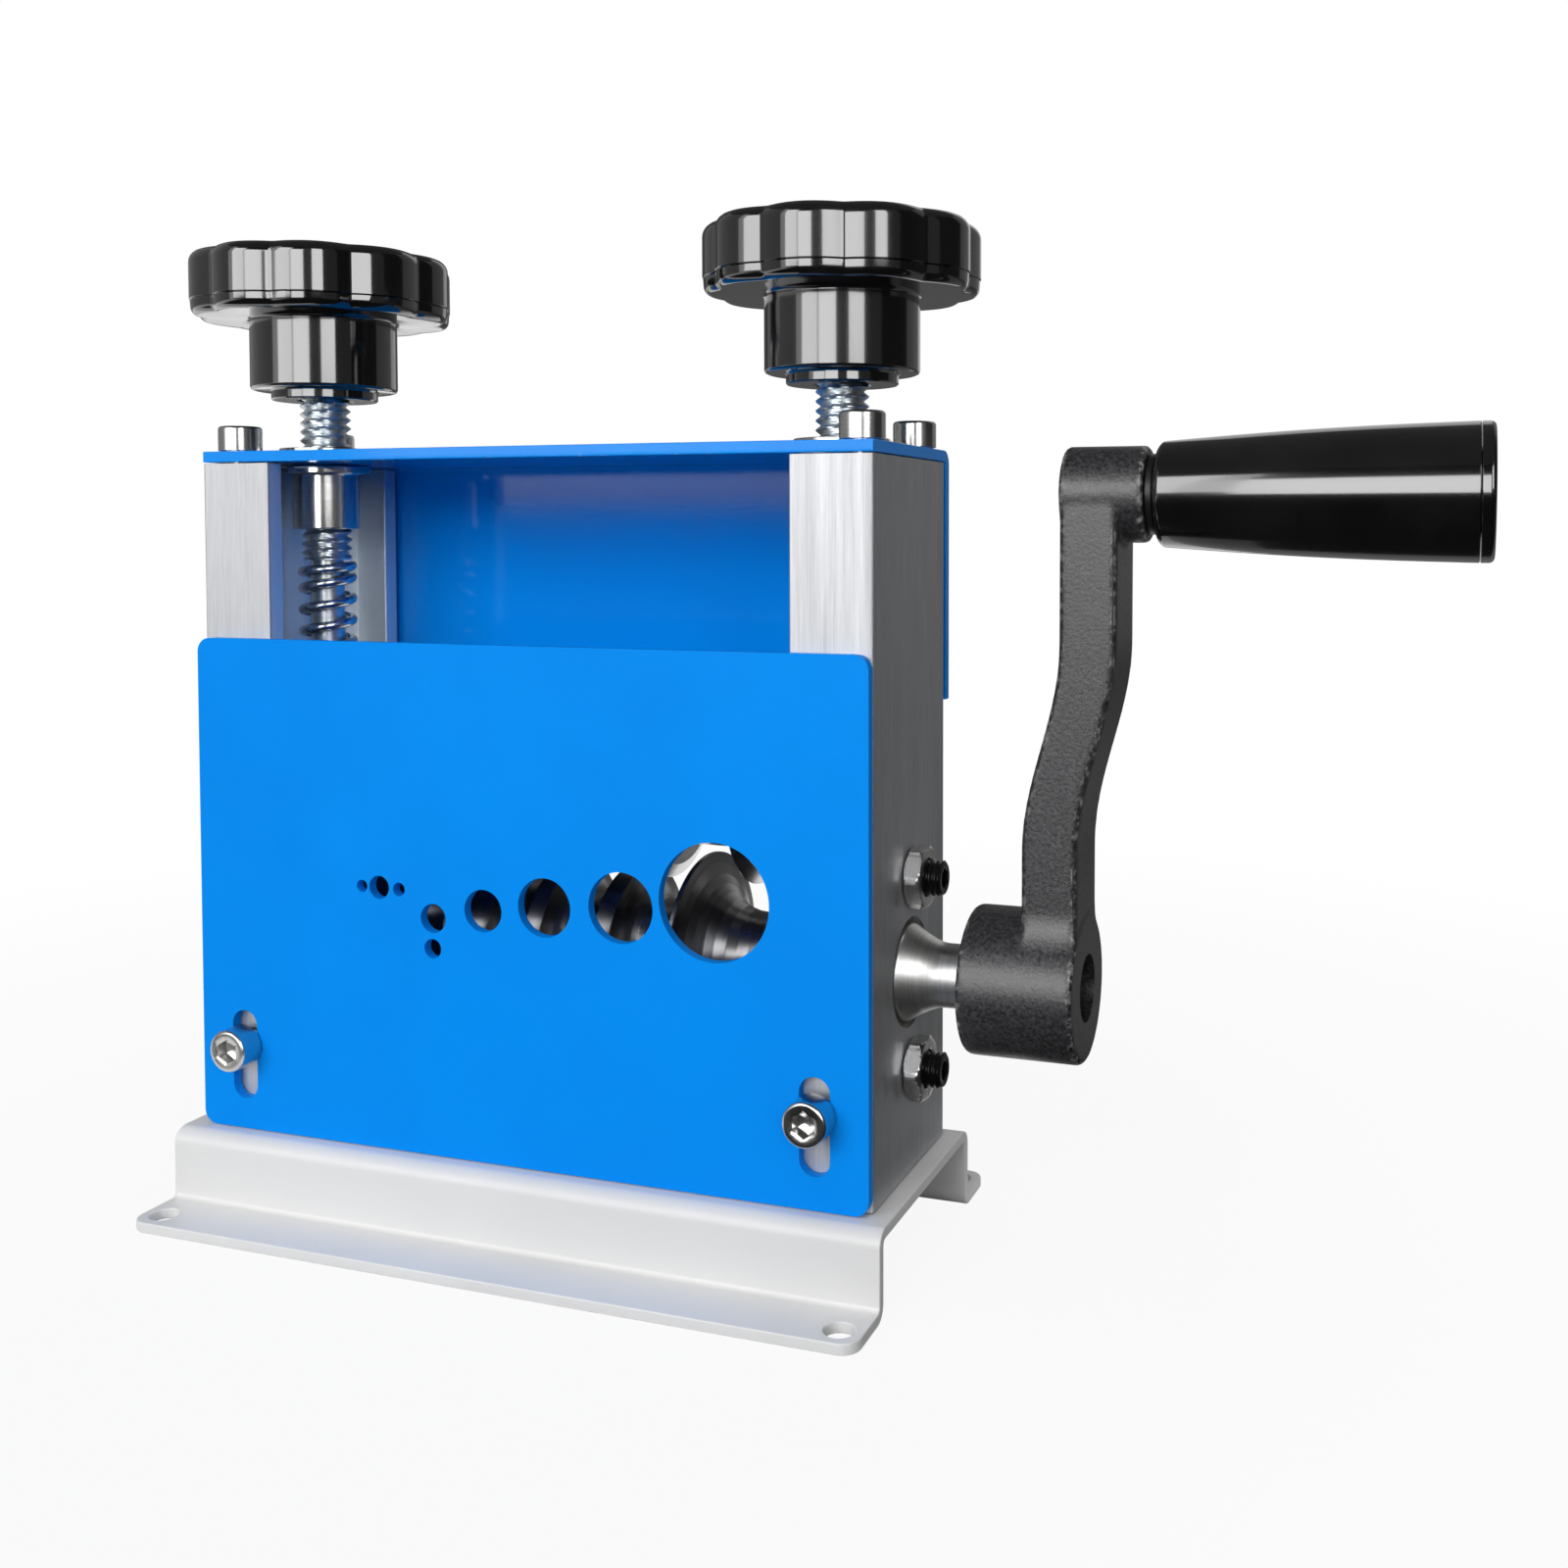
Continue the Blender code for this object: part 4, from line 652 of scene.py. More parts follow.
# %% Polished phenolic and plastic
def make_phenolic(name, roughness, flow):
    """Polished resin: flow stretches the faint bands that its moulding left."""
    return finish(name, (0.0025, 0.0025, 0.003), roughness,
                  [grain(240.0, 70.0), (DRAWN_LINES, {"Stretch": flow})],
                  [("Clouds", (0.006, 0.006, 0.0065), 0.4, 0.8)],
                  ("Bands", roughness - 0.04, roughness + 0.08), ("Bands", 0.1, 0.06),
                  ground=(0.002, 0.002, 0.0024), Specular_IOR_Level=0.8,
                  Coat_Weight=1.0, Coat_Roughness=0.06, Coat_IOR=1.55)


KNOB_BLACK = make_phenolic("polished black phenolic", 0.12, (700, 700, 60))
GRIP_BLACK = make_phenolic("black grip plastic", 0.16, (40, 500, 500))
print("polished blacks:", KNOB_BLACK.name, "and", GRIP_BLACK.name)


# %% Painted casting
CAST_BLACK = finish("black painted casting", (0.025, 0.025, 0.027), 0.42,
                    [grain(1300.0, 420.0), wear(500.0, 0.5)],
                    [("Height", (0.04, 0.04, 0.043), 0.36, 0.7),
                     ("Clouds", (0.06, 0.06, 0.064), 0.55, 1.1),
                     ("Mask", (0.36, 0.35, 0.34), 0.1, 1.3)],
                    ("Height", 0.33, 0.46), ("Height", 0.7, 0.09),
                    ground=(0.01, 0.01, 0.012), Specular_IOR_Level=0.8)
print(CAST_BLACK.name, "is rubbed to grey on its edges")

# %% Blackened steel
BLACK_OXIDE = finish("blackened steel", (0.018, 0.018, 0.02), 0.34,
                     [grain(1400.0, 120.0), wear(900.0, 0.3)],
                     [("Clouds", (0.035, 0.035, 0.037), 0.4, 0.7),
                      ("Mask", (0.2, 0.2, 0.2), 0.2, 1.2)],
                     ("Clouds", 0.26, 0.42), ("Height", 0.15, 0.03),
                     ground=(0.014, 0.014, 0.016), Metallic=0.7)
print("finishes so far:", len(bpy.data.materials))


# %% Hand a piece over
def dress(made, body, slot, look, *nodes, sharp=38):
    """Gives a piece its finish, shading and the body it moves with, and hides the solids it stands
    for.
    """
    made.data.materials.clear()
    made.data.materials.append(look)
    if sharp:
        made.data.set_sharp_from_angle(angle=radians(sharp))
        flats = made.modifiers.new("flats", "WEIGHTED_NORMAL")
        flats.weight, flats.keep_sharp = FLAT_WEIGHT, True
        settle(made)
    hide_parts(*nodes)
    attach(made, body)
    triangles = sum(len(face.vertices) - 2 for face in made.data.polygons)
    print(f"{made.name}: {triangles} triangles")
    return made


# %% [markdown]
# ## The folded base
#
# The base is one strip of sheet steel folded into a hat: two flanges on the
# bench and a raised web. It could be boxes set side by side, but a folded
# sheet shows round bends of even thickness. So its section is drawn once,
# carried along X, and its corners and holes are cut afterwards.

# %% Fold the base
WEB_Y, WEB_HALF, FLANGE_HALF = -1.25, 31.2, 45.6
BASE_HALF, BASE_TOP, SHEET, BEND = 90.25, 19.0, 2.5, 3.6
CORNER, FOOT_INSET, FOOT_BORE = 4.0, 5.4, 6.5
SCREW_X, SCREW_Y, SCREW_BORE = 80.8, 17.2, 6.6
SCREW_PLACES = [(x, y) for x in (-SCREW_X, SCREW_X) for y in (-SCREW_Y, SCREW_Y)]

outer_fold = [(-FLANGE_HALF, SHEET), (-WEB_HALF, SHEET), (-WEB_HALF, BASE_TOP),
              (WEB_HALF, BASE_TOP), (WEB_HALF, SHEET), (FLANGE_HALF, SHEET)]
inner_fold = [(-FLANGE_HALF, 0), (-WEB_HALF + SHEET, 0), (-WEB_HALF + SHEET, BASE_TOP - SHEET),
              (WEB_HALF - SHEET, BASE_TOP - SHEET), (WEB_HALF - SHEET, 0), (FLANGE_HALF, 0)]
outer_line = soften(outer_fold, [0, BEND - SHEET, BEND, BEND, BEND - SHEET, 0], 6)
inner_line = soften(inner_fold, [0, BEND, BEND - SHEET, BEND - SHEET, BEND, 0], 6)
base_section = np.vstack([outer_line, inner_line[::-1]])
base = solid("folded_base", raised(base_section, -BASE_HALF, BASE_HALF, (0, WEB_Y, 0), "+X"))


def corner_tool(x, y, size, low, high):
    """What a rounded corner takes off: the square corner less a quarter circle."""
    turn = quarter(9)
    sign_x, sign_y = np.sign(x), np.sign(y - WEB_Y)
    arc = np.stack([x - sign_x * size * (1 - np.cos(turn)),
                    y - sign_y * size * (1 - np.sin(turn))], -1)
    near, far = (x + sign_x, y - sign_y * size), (x - sign_x * size, y + sign_y)
    return raised(np.vstack([near, arc, far, (x + sign_x, y + sign_y)]), low, high)


base_tools = []
for x in (-BASE_HALF, BASE_HALF):
    for y in (WEB_Y - FLANGE_HALF, WEB_Y + FLANGE_HALF):
        base_tools.append(corner_tool(x, y, CORNER, -1, BASE_TOP + 1))
        inset = (x - np.sign(x) * FOOT_INSET, y - np.sign(y - WEB_Y) * FOOT_INSET, 0)
        base_tools.append(hole(FOOT_BORE, -1, SHEET + 1, inset))
base_tools += [hole(SCREW_BORE, BASE_TOP - SHEET - 1, BASE_TOP + 1, (*place, 0), sides=48)
               for place in SCREW_PLACES]
mark_edges(cut(base, *base_tools, edge=0.35))
dress(base, "frame", "grey_paint", GREY_PAINT, "base_channel", sharp=0)

# %% [markdown]
# ## The side channels
#
# Each side is a length of aluminium extrusion: an outer wall, two arms, and
# thick corners inside that take the screws. Its plan is drawn once and raised
# from base to cover. The sawn ends and the bores get small rounded edges.


# %% Raise the channels
CHANNEL_LOW, CHANNEL_HIGH, THREAD_HOLE = 19.3, 178.7, 14
OUTER_X, OUTER_Y, INNER_X, WALL_X = 85.8, 24.2, 66.9, 81.1
PLATE_SCREW_X, PLATE_SCREW_Z = 73.6, 39.6
STUD_RISE, STUD_BORE = 21.5, 8.6


def channel(name, side, bores):
    """The plan of one side, mirrored by its sign, with the bores of its wall."""
    plan = [(INNER_X, -OUTER_Y), (OUTER_X, -OUTER_Y), (OUTER_X, OUTER_Y), (INNER_X, OUTER_Y),
            (INNER_X, 19.4), (75.8, 19.4), (75.8, 12.1), (WALL_X, 12.1),
            (WALL_X, -12.1), (75.8, -12.1), (75.8, -19.4), (INNER_X, -19.4)]
    rounding = [0.35, 0.7, 0.7] + [0.35] * 9
    plan = soften([(side * x, y) for x, y in plan], rounding, 4, closed=True)
    made = solid(name, raised(plan, CHANNEL_LOW, CHANNEL_HIGH))
    wall = sorted((side * 80, side * 87))
    tools = [hole(diameter, *wall, (0, 0, height), "+X") for diameter, height in bores]
    ends = [(CHANNEL_LOW - 1, CHANNEL_LOW + THREAD_HOLE),
            (CHANNEL_HIGH - THREAD_HOLE, CHANNEL_HIGH + 1)]
    tools += [hole(SCREW_BORE, *end, (side * SCREW_X, y, 0), sides=48)
              for y in (-SCREW_Y, SCREW_Y) for end in ends]
    tools.append(hole(SCREW_BORE, 18.4, 25.2, (side * PLATE_SCREW_X, 0, PLATE_SCREW_Z), "-Y", 48))
    cut(made, *tools, edge=0.2)
    node = name.replace("extruded", "side")
    return dress(made, "frame", "aluminium", CHANNEL_ALUMINIUM, node, sharp=0)


channel("left_extruded_channel", -1, [(21.2, FEED_Z)])
channel("right_extruded_channel", 1,
        [(24.5, FEED_Z), (STUD_BORE, FEED_Z - STUD_RISE), (STUD_BORE, FEED_Z + STUD_RISE)])

# %% [markdown]
# ## Cover and guide plate
#
# The cover is a folded L: a flat top, and a flange that closes the back down
# to half height. The guide plate is flat sheet, with a ladder of round wire
# holes and two upright slots that let it be set higher or lower.

# %% Fold the cover
COVER_LOW, COVER_HIGH, COVER_FOOT, COVER_BACK = 179.0, 181.6, 122.8, 28.0
PRESS_X, BUSH_BORE = 69.6, 16.0

cover_outside = [(-OUTER_Y, COVER_HIGH), (COVER_BACK, COVER_HIGH), (COVER_BACK, COVER_FOOT)]
cover_inside = [(-OUTER_Y, COVER_LOW), (25.4, COVER_LOW), (25.4, COVER_FOOT)]
cover_section = np.vstack([soften(cover_outside, 3.4, 8), soften(cover_inside, 0.8, 8)[::-1]])
cover = solid("folded_cover", raised(cover_section, -OUTER_X, OUTER_X, axis="+X"))
through_cover = (COVER_LOW - 1, COVER_HIGH + 1)
cover_tools = [hole(SCREW_BORE, *through_cover, (*place, 0), sides=48) for place in SCREW_PLACES]
cover_tools += [hole(BUSH_BORE, *through_cover, (x, 0, 0)) for x in (-PRESS_X, PRESS_X)]
mark_edges(cut(cover, *cover_tools, edge=0.45))
dress(cover, "frame", "blue_powder_coat", COVER_BLUE, "top_cover", sharp=0)

# %% Cut the guide plate
PLATE_BACK, PLATE_FRONT, PLATE_LOW, PLATE_HIGH = 24.5, 27.0, 19.3, 137.0
SLOT_WIDTH, SLOT_LENGTH, SLOT_Z = 7.0, 21.3, 37.2
WIRE_HOLES = [(-34.77, 80.3, 5.4), (-20.17, 74.2, 6.7), (-6.97, 76.9, 9.7),
              (8.83, 78.8, 13.3), (27.93, 80.2, 15.8), (50.33, 83.0, 26.0),
              (-39.47, 80.3, 2.9), (-29.37, 80.2, 3.2), (-20.37, 67.2, 4.5)]


def rectangle(x_low, x_high, y_low, y_high):
    """Four corners, turning left."""
    return [(x_low, y_low), (x_high, y_low), (x_high, y_high), (x_low, y_high)]


sheet_corners = rectangle(-OUTER_X, OUTER_X, PLATE_LOW, PLATE_HIGH)
plate_outline = soften(sheet_corners, 3.3, 8, closed=True)
plate = solid("guide_plate", raised(plate_outline, PLATE_BACK, PLATE_FRONT, axis="-Y"))
slot_corners = rectangle(-SLOT_WIDTH / 2, SLOT_WIDTH / 2, -SLOT_LENGTH / 2, SLOT_LENGTH / 2)
slot_outline = soften(slot_corners, 3.49, 10, closed=True)
plate_tools = [hole(bore, 23, 29, (x, 0, height), "-Y", 96 if bore > 9 else 48)
               for x, height, bore in WIRE_HOLES]
plate_tools += [raised(slot_outline, 23, 29, (x, 0, SLOT_Z), "-Y")
                for x in (-PLATE_SCREW_X, PLATE_SCREW_X)]
mark_edges(cut(plate, *plate_tools, edge=0.3))
dress(plate, "guide_panel", "blue_powder_coat", PLATE_BLUE, "front_guide_panel", sharp=0)

# %% [markdown]
# ## Screws and nuts
#
# A hexagon and a circle are the same ring of points with a different radius:
# the hexagon's is half its width across flats over the cosine of the angle
# from the nearest flat. So a socket screw and a nut are one grid each, whose
# rows change from round to hexagonal.


# %% Hexagons in the round
def hexagon_radius(across_flats, sides, turned=0.0):
    """Half the width over cos(angle from the nearest flat); turned is in sixths of a turn."""
    angle = tau * np.arange(sides) / sides - tau * turned / 6
    return across_flats / 2 / np.cos((angle + pi / 6) % (pi / 3) - pi / 6)


def rows_of(profile, sides, across_flats):
    """Rows of (along, radius, shape): shape 0 is a circle, 1 a hexagon of that radius."""
    profile = np.asarray(profile, float)
    hexagon = hexagon_radius(across_flats, sides) * 2 / across_flats
    shape = profile[:, 2:3]
    return profile[:, :1], profile[:, 1:2] * (1 - shape + shape * hexagon)


def cap_screw(name, look, seat, axis, node, length=16.0):
    """Socket head screw of the frame: its head stands on seat, its shank runs back from it."""
    crown = [(5.2 + 0.8 * sin(step), 4.2 + 0.8 * cos(step), 0) for step in quarter(6)]
    profile = [(-length, 0, 0), (-length, 2.6, 0), (0.4 - length, 3, 0), (0, 3, 0),
               (0, 4.85, 0), (0.15, 5, 0), (5.2, 5, 0)] + crown[1:]
    profile += [(6.0, 3.2, 0), (5.75, 2.5, 1), (3.1, 2.5, 1), (3.0, 2.4, 1), (2.6, 1.0, 0),
                (2.5, 0, 0)]
    made = solid(name, revolved(*rows_of(profile, 72, 5.0), seat, axis))
    return dress(made, "frame", "bright_steel", look, node, sharp=32)


def nut_shape(along, reach, bore, hexagon, place):
    """A ring along X: outside its bore, no row reaches further than the hexagon."""
    along, reach = np.array(along)[:, None], np.array(reach)[:, None]
    shape = np.where(reach > bore, np.minimum(reach, hexagon), reach)
    return revolved(along, shape, place, "+X", ring=True)


NUT_FLATS = 13.0
across_corners = 2 * float(hexagon_radius(NUT_FLATS, 72, 0.5).max())
print("a thin nut is", round(across_corners, 2), "mm over its corners")

# %% Fit the frame's screws
COVER_SEAT, BASE_SEAT, PLATE_SEAT, PLATE_SCREW_LENGTH = 181.9, 16.2, -27.3, 7.9


def side_of(x):
    """The name of the side on which x lies."""
    return "left" if x < 0 else "right"


for x, y in SCREW_PLACES:
    end, side = "front" if y < 0 else "rear", side_of(x)
    look = make_turned(f"bright screw steel {end} {side}", BRIGHT, 0.2, (x, y, 0), UPWARD, 2600.0)
    for part, height, axis in (("cover", COVER_SEAT, "+Z"), ("base", BASE_SEAT, "-Z")):
        cap_screw(f"{part}_cap_screw_{end}_{side}", look, (x, y, height), axis,
                  f"{part}_screw_{end}_{side}")
for x in (-PLATE_SCREW_X, PLATE_SCREW_X):
    look = make_turned(f"bright plate screw steel {side_of(x)}", BRIGHT, 0.22,
                       (x, 0, PLATE_SCREW_Z), ALONG_Y, 2600.0)
    cap_screw(f"plate_cap_screw_{side_of(x)}", look, (x, PLATE_SEAT, PLATE_SCREW_Z), "-Y",
              f"panel_screw_{side_of(x)}", PLATE_SCREW_LENGTH)


# %% Screw threads
def thread_radius(along, sides, major, pitch, depth, low, high):
    """major less depth times a rounded saw of (along / pitch - angle / tau), faded at both ends."""
    angle = np.arange(sides) / sides
    saw = np.abs((along / pitch - angle) % 1 - 0.5) * 2
    valley = np.clip((saw - 0.12) / 0.76, 0, 1)
    fade = np.clip(np.minimum(along - low, high - along) / (0.4 * pitch), 0, 1)
    return major - depth * valley * fade


def threaded_rows(low, high, step):
    """Rows every step millimetres from low to high."""
    return np.linspace(low, high, int(round((high - low) / step)) + 1)[:, None]


def threaded_bar(start, rows, thread, end, place, axis="+Z"):
    """Plain rows, threaded ones and plain ones again, as one turned shape."""
    along, radius = zip(start, (rows, thread), end)
    return revolved(np.vstack(along), np.vstack(radius), place, axis)


print("a thread of 1.25 mm needs", len(threaded_rows(0, 10, 0.125)), "rows for 10 mm")

# %% Studs and nuts outside the right channel
STUD_PITCH, STUD_DEPTH = 1.25, 0.65

for name, height in (("upper", FEED_Z + STUD_RISE), ("lower", FEED_Z - STUD_RISE)):
    centre = (0, 0, height)
    rows = threaded_rows(85.0, 93.4, 0.14)
    thread = thread_radius(rows, 72, 4.0, STUD_PITCH, STUD_DEPTH, 85.0, 93.6)
    start = rows_of([(75.8, 0, 0), (75.8, 3.6, 0), (76.2, 4, 0)], 72, 4.0)
    end = rows_of([(93.8, 3.4, 0), (93.8, 2.5, 0), (93.65, 2.0, 1), (90.0, 2.0, 1), (89.8, 0, 0)],
                  72, 4.0)
    stud = solid(f"threaded_stud_{name}", threaded_bar(start, rows, thread, end, centre, "+X"))
    dress(mark_edges(stud), "frame", "black_oxide", BLACK_OXIDE, f"flange_stud_{name}")
    along = [86.1, 86.1, 86.25, 86.5, 86.9, 89.3, 89.7, 89.95, 90.1, 90.1, 89.8, 86.4]
    reach = [4.6, 6.15, 6.55, 6.9, 7.6, 7.6, 6.9, 6.55, 6.15, 4.6, 4.3, 4.3]
    hexagon = np.minimum(hexagon_radius(NUT_FLATS, 360, 0.5), 7.36)
    look = make_turned(f"bright nut steel {name}", BRIGHT, 0.3, centre, ALONG_X, 1200.0)
    nut = solid(f"thin_nut_{name}", nut_shape(along, reach, 5, hexagon, centre))
    dress(nut, "frame", "bright_steel", look, f"flange_nut_{name}", sharp=22)

# %% [markdown]
# ## Pressure screws, their bushes and the springs
#
# A screw runs through a flanged steel bush under the cover. Below it a thin
# rod goes through a spring into the slider block, so that turning the knob
# presses the blades down. The visible lengths of the screw have a real
# thread, as a grid whose radius follows a saw round the axis, and the plain
# parts are ordinary turned profiles.

# %% Make the pressure screws
SCREW_LINES = (("left", -PRESS_X), ("right", PRESS_X))
THREAD_PITCH, THREAD_DEPTH = 2.15, 1.1

for name, x in SCREW_LINES:
    place = (x, 0, 0)
    look = make_turned(f"zinc plated steel {name}", ZINC, 0.3, place, UPWARD, 1500.0, 0.006)
    lower = rows_of([(118.8, 0, 0), (118.8, 3.7, 0), (119.1, 4, 0), (120.0, 4, 0), (120.0, 3.1, 0),
                     (121.8, 3.1, 0), (121.8, 4, 0), (155.4, 4, 0), (155.4, 5.2, 0)], 72, 12)
    middle = threaded_rows(155.5, 197.5, 0.2)
    thread = thread_radius(middle, 72, 6.0, THREAD_PITCH, THREAD_DEPTH, 155.2, 197.6)
    upper = rows_of([(198.0, 6, 0), (214.8, 6, 0), (215.1, 5.6, 0), (215.1, 0, 0)], 72, 12)
    made = solid(f"{name}_threaded_screw", threaded_bar(lower, middle, thread, upper, place))
    dress(made, f"{name}_screw", "zinc_plate", look, f"{name}_pressure_screw")

    bush = lathe([(163.1, 6.3), (163.1, 7.9), (176.7, 7.9), (176.7, 11.1), (178.7, 11.1),
                  (178.7, 7.7), (183.1, 7.7), (183.1, 6.3)], place, sides=120, edge=0.35, ring=True)
    look = make_turned(f"bright bush steel {name}", BRIGHT, 0.14, place, UPWARD, 1800.0, 0.006)
    dress(solid(f"{name}_flanged_bush", bush), "frame", "zinc_plate", look, f"{name}_nut_bush")
    washer = collar(COVER_SEAT, 183.1, 8.0, 10.9, place, sides=96)
    dress(solid(f"{name}_cover_washer", washer), "frame", "zinc_plate", look, f"{name}_top_washer")
    ring = collar(120.3, 121.5, 3.4, 6.0, place, sides=64, edge=0.15)
    dress(solid(f"{name}_snap_ring", ring), f"{name}_screw", "black_oxide", BLACK_OXIDE,
          f"{name}_rod_ring")

# %% [markdown]
# A spring is a round wire carried along a helix. At each point of the helix
# the ring of the wire is spanned by the outward direction and by the one
# square to it and to the path. The end turns lie closer, and the ends close
# on a flat cap.

# %% Wind the springs
COIL_LOW, COIL_HIGH, WIRE, COIL = 126.3, 155.1, 2.4, 14.1
OPEN_PITCH, END_PITCH, COIL_LENGTH, FLOAT_TRAVEL = 5.34, 2.9, 28.8, 7
WIRE_SIDES, STEPS_PER_TURN = 16, 48


def spring_shape(x):
    """Helix of radius (COIL - WIRE) / 2, rising by a pitch a turn, swept by the wire's circle."""
    radius, low, high = (COIL - WIRE) / 2, COIL_LOW + WIRE / 2, COIL_HIGH - WIRE / 2
    open_turns = (high - low - 2 * END_PITCH) / OPEN_PITCH
    turn = np.linspace(0, open_turns + 2, int((open_turns + 2) * STEPS_PER_TURN))[:, None]
    height = low + END_PITCH * np.clip(turn, 0, 1) + OPEN_PITCH * np.clip(turn - 1, 0, open_turns)
    height = height + END_PITCH * np.clip(turn - 1 - open_turns, 0, 1)
    angle = pi / 2 + tau * turn
    path = np.hstack([radius * np.cos(angle), radius * np.sin(angle), height])
    tangent = np.gradient(path, axis=0)
    tangent /= np.linalg.norm(tangent, axis=1, keepdims=True)
    outward = np.hstack([np.cos(angle), np.sin(angle), 0 * angle])
    square = np.cross(tangent, outward)[:, None]
    around = (tau * np.arange(WIRE_SIDES) / WIRE_SIDES)[:, None]
    ring = outward[:, None] * np.cos(around) + square * np.sin(around)
    return capped(path[:, None] + WIRE / 2 * ring + np.array([x, 0, 0]))


SPRING_WIRE = finish("zinc plated spring wire", ZINC, 0.2, [grain(900.0, 150.0)],
                     [("Clouds", (0.45, 0.48, 0.5), 0.4, 0.75)], ("Clouds", 0.16, 0.32),
                     ("Height", 0.2, 0.03), Metallic=1.0)
for name, x in SCREW_LINES:
    spring = dress(solid(f"{name}_coil_spring", spring_shape(x)), "press_stack", "zinc_plate",
                   SPRING_WIRE, f"{name}_spring", sharp=50)
    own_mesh(spring)

# %% [markdown]
# ## The knobs
#
# A knob is one moulding: a thin collar, a plain hub and a rim with ten
# broad lobes. The lobes are a formula, so the whole knob is one grid of
# angle and profile. Near the hub and the middle the lobes fade to a circle.

# %% Mould the knobs
KNOB_SIDES, LOBES, LOBE_DEPTH, LOBES_FROM, LOBES_OVER, SOFTNESS = 480, 10, 1.9, 17.5, 6.0, 0.006
KNOB_FOOT, HUB_TOP, RIM_TOP = 195.1, 214.7, 230.3


def lobed(radius, turned):
    """radius less LOBE_DEPTH (1 - s) near the rim; s is the soft size of cos(LOBES / 2 angle)."""
    angle = tau * np.arange(KNOB_SIDES) / KNOB_SIDES - turned
    size = np.sqrt(np.cos(LOBES // 2 * angle) ** 2 + SOFTNESS) / sqrt(1 + SOFTNESS)
    share = np.clip((radius - LOBES_FROM) / LOBES_OVER, 0, 1)
    return radius - LOBE_DEPTH * share * share * (3 - 2 * share) * np.clip(1 - size, 0, 1)


def knob(name, x, turned):
    """One profile from the bore up over the collar, hub and rim, with a parting groove."""
    parting = HUB_TOP + 3.6
    lower = [(HUB_TOP + 2.0 * (1 - cos(step)), 29.0 + 1.7 * sin(step)) for step in quarter(7)]
    crown = [(RIM_TOP - 3 + 3 * sin(step), 28 + 3 * cos(step)) for step in quarter(7)]
    profile = [(215.4, 0), (215.4, 6.3), (KNOB_FOOT + 0.4, 6.3), (KNOB_FOOT, 6.7),
               (KNOB_FOOT, 12.3), (KNOB_FOOT + 0.3, 12.6), (197.2, 12.6), (197.5, 12.9),
               (197.5, 16.6), (197.75, 17.15), (198.3, 17.4), (HUB_TOP - 0.8, 17.4),
               (HUB_TOP - 0.2, 17.6), (HUB_TOP, 18.2), (HUB_TOP, 23.0), (HUB_TOP, 26.5)] + lower
    profile += [(parting - 0.25, 30.8), (parting, 30.6), (parting + 0.2, 31.0),
                (parting + 0.4, 31.0)]
    profile += crown + [(RIM_TOP, 25), (RIM_TOP, 20), (RIM_TOP, 12), (RIM_TOP, 0)]
    profile = np.array(profile)
    radius = lobed(np.repeat(profile[:, 1:], KNOB_SIDES, 1), turned)
    made = solid(f"{name}_lobed_knob", revolved(profile[:, :1], radius, (x, 0, 0)))
    return dress(made, f"{name}_screw", "black_phenolic", KNOB_BLACK, f"{name}_knob", sharp=42)


for (name, x), turned in zip(SCREW_LINES, (14.8, 22)):
    knob(name, x, radians(turned))

# %% [markdown]
# ## Feed shaft and roller
#
# The shaft is turned from bar. Outside the right channel it has a collar
# that flares down to the neck which carries the crank. The roller behind
# the plate has a half round groove for each of the large wire holes.

# %% Turn the shaft
flare = [(85.9 + 8.3 * step, 7 + 3.8 * (1 - step) ** 1.5) for step in np.linspace(0, 1, 14)]
shaft_profile = [(-85.8, 0), (-85.8, 8), (65.0, 8), (65.0, 7.1), (67.2, 7.1), (67.2, 8), (83.4, 8),
                 (83.4, 10.8), (85.9, 10.8)] + flare[1:] + [(120.8, 7), (120.8, 0)]
shaft = solid("turned_feed_shaft", lathe(shaft_profile, FEED_AXIS, "+X", 120, edge=0.35))
dress(shaft, "feed", "bright_steel", SHAFT_STEEL, "feed_shaft")

# %% Turn the roller
ROLLER_BORE, LAND, WIDE_LAND = 8.3, 19.3, 23.5
GROOVES = [(-34.77, 6.7), (-20.17, 6.7), (-6.97, 9.7), (8.83, 13.3), (27.93, 15.8), (50.33, 26.0)]
land, roller_profile = LAND, [(-62.0, ROLLER_BORE), (-62.0, LAND)]
for x, width in GROOVES:
    if (x, width) == GROOVES[-1]:
        roller_profile += [(36.13, LAND), (36.13, WIDE_LAND)]
        land = WIDE_LAND
    roller_profile += [(x - width / 2 * cos(turn), land - width / 2 * sin(turn))
                       for turn in np.linspace(0, pi, 17)]
roller_profile += [(65.0, WIDE_LAND), (65.0, ROLLER_BORE)]
roller_shape = lathe(roller_profile, FEED_AXIS, "+X", 120, edge=0.25, steps=2, ring=True)
roller = solid("grooved_feed_roller", roller_shape)
cut(roller, hole(5.6, 8.1, 20, (-54.0, 0, FEED_Z), "-Z", 32), edge=0)
dress(roller, "feed", "dark_steel", ROLLER_STEEL, "feed_roller")


# %% Small parts on the shaft
def grub(name, diameter, length, tip, axis, socket, node):
    """A headless screw: its socket opens away from the tip."""
    rim, wall = diameter / 2, socket / 2
    profile = [(0, 0, 0), (0, rim - 0.4, 0), (0.4, rim, 0), (length - 0.3, rim, 0),
               (length, rim - 0.3, 0), (length, wall + 0.35, 0), (length - 0.2, wall, 1),
               (length - socket, wall, 1), (length - socket - 0.2, 0, 0)]
    made = solid(name, revolved(*rows_of(profile, 48, socket), tip, axis))
    return dress(made, "feed", "black_oxide", BLACK_OXIDE, node, sharp=32)


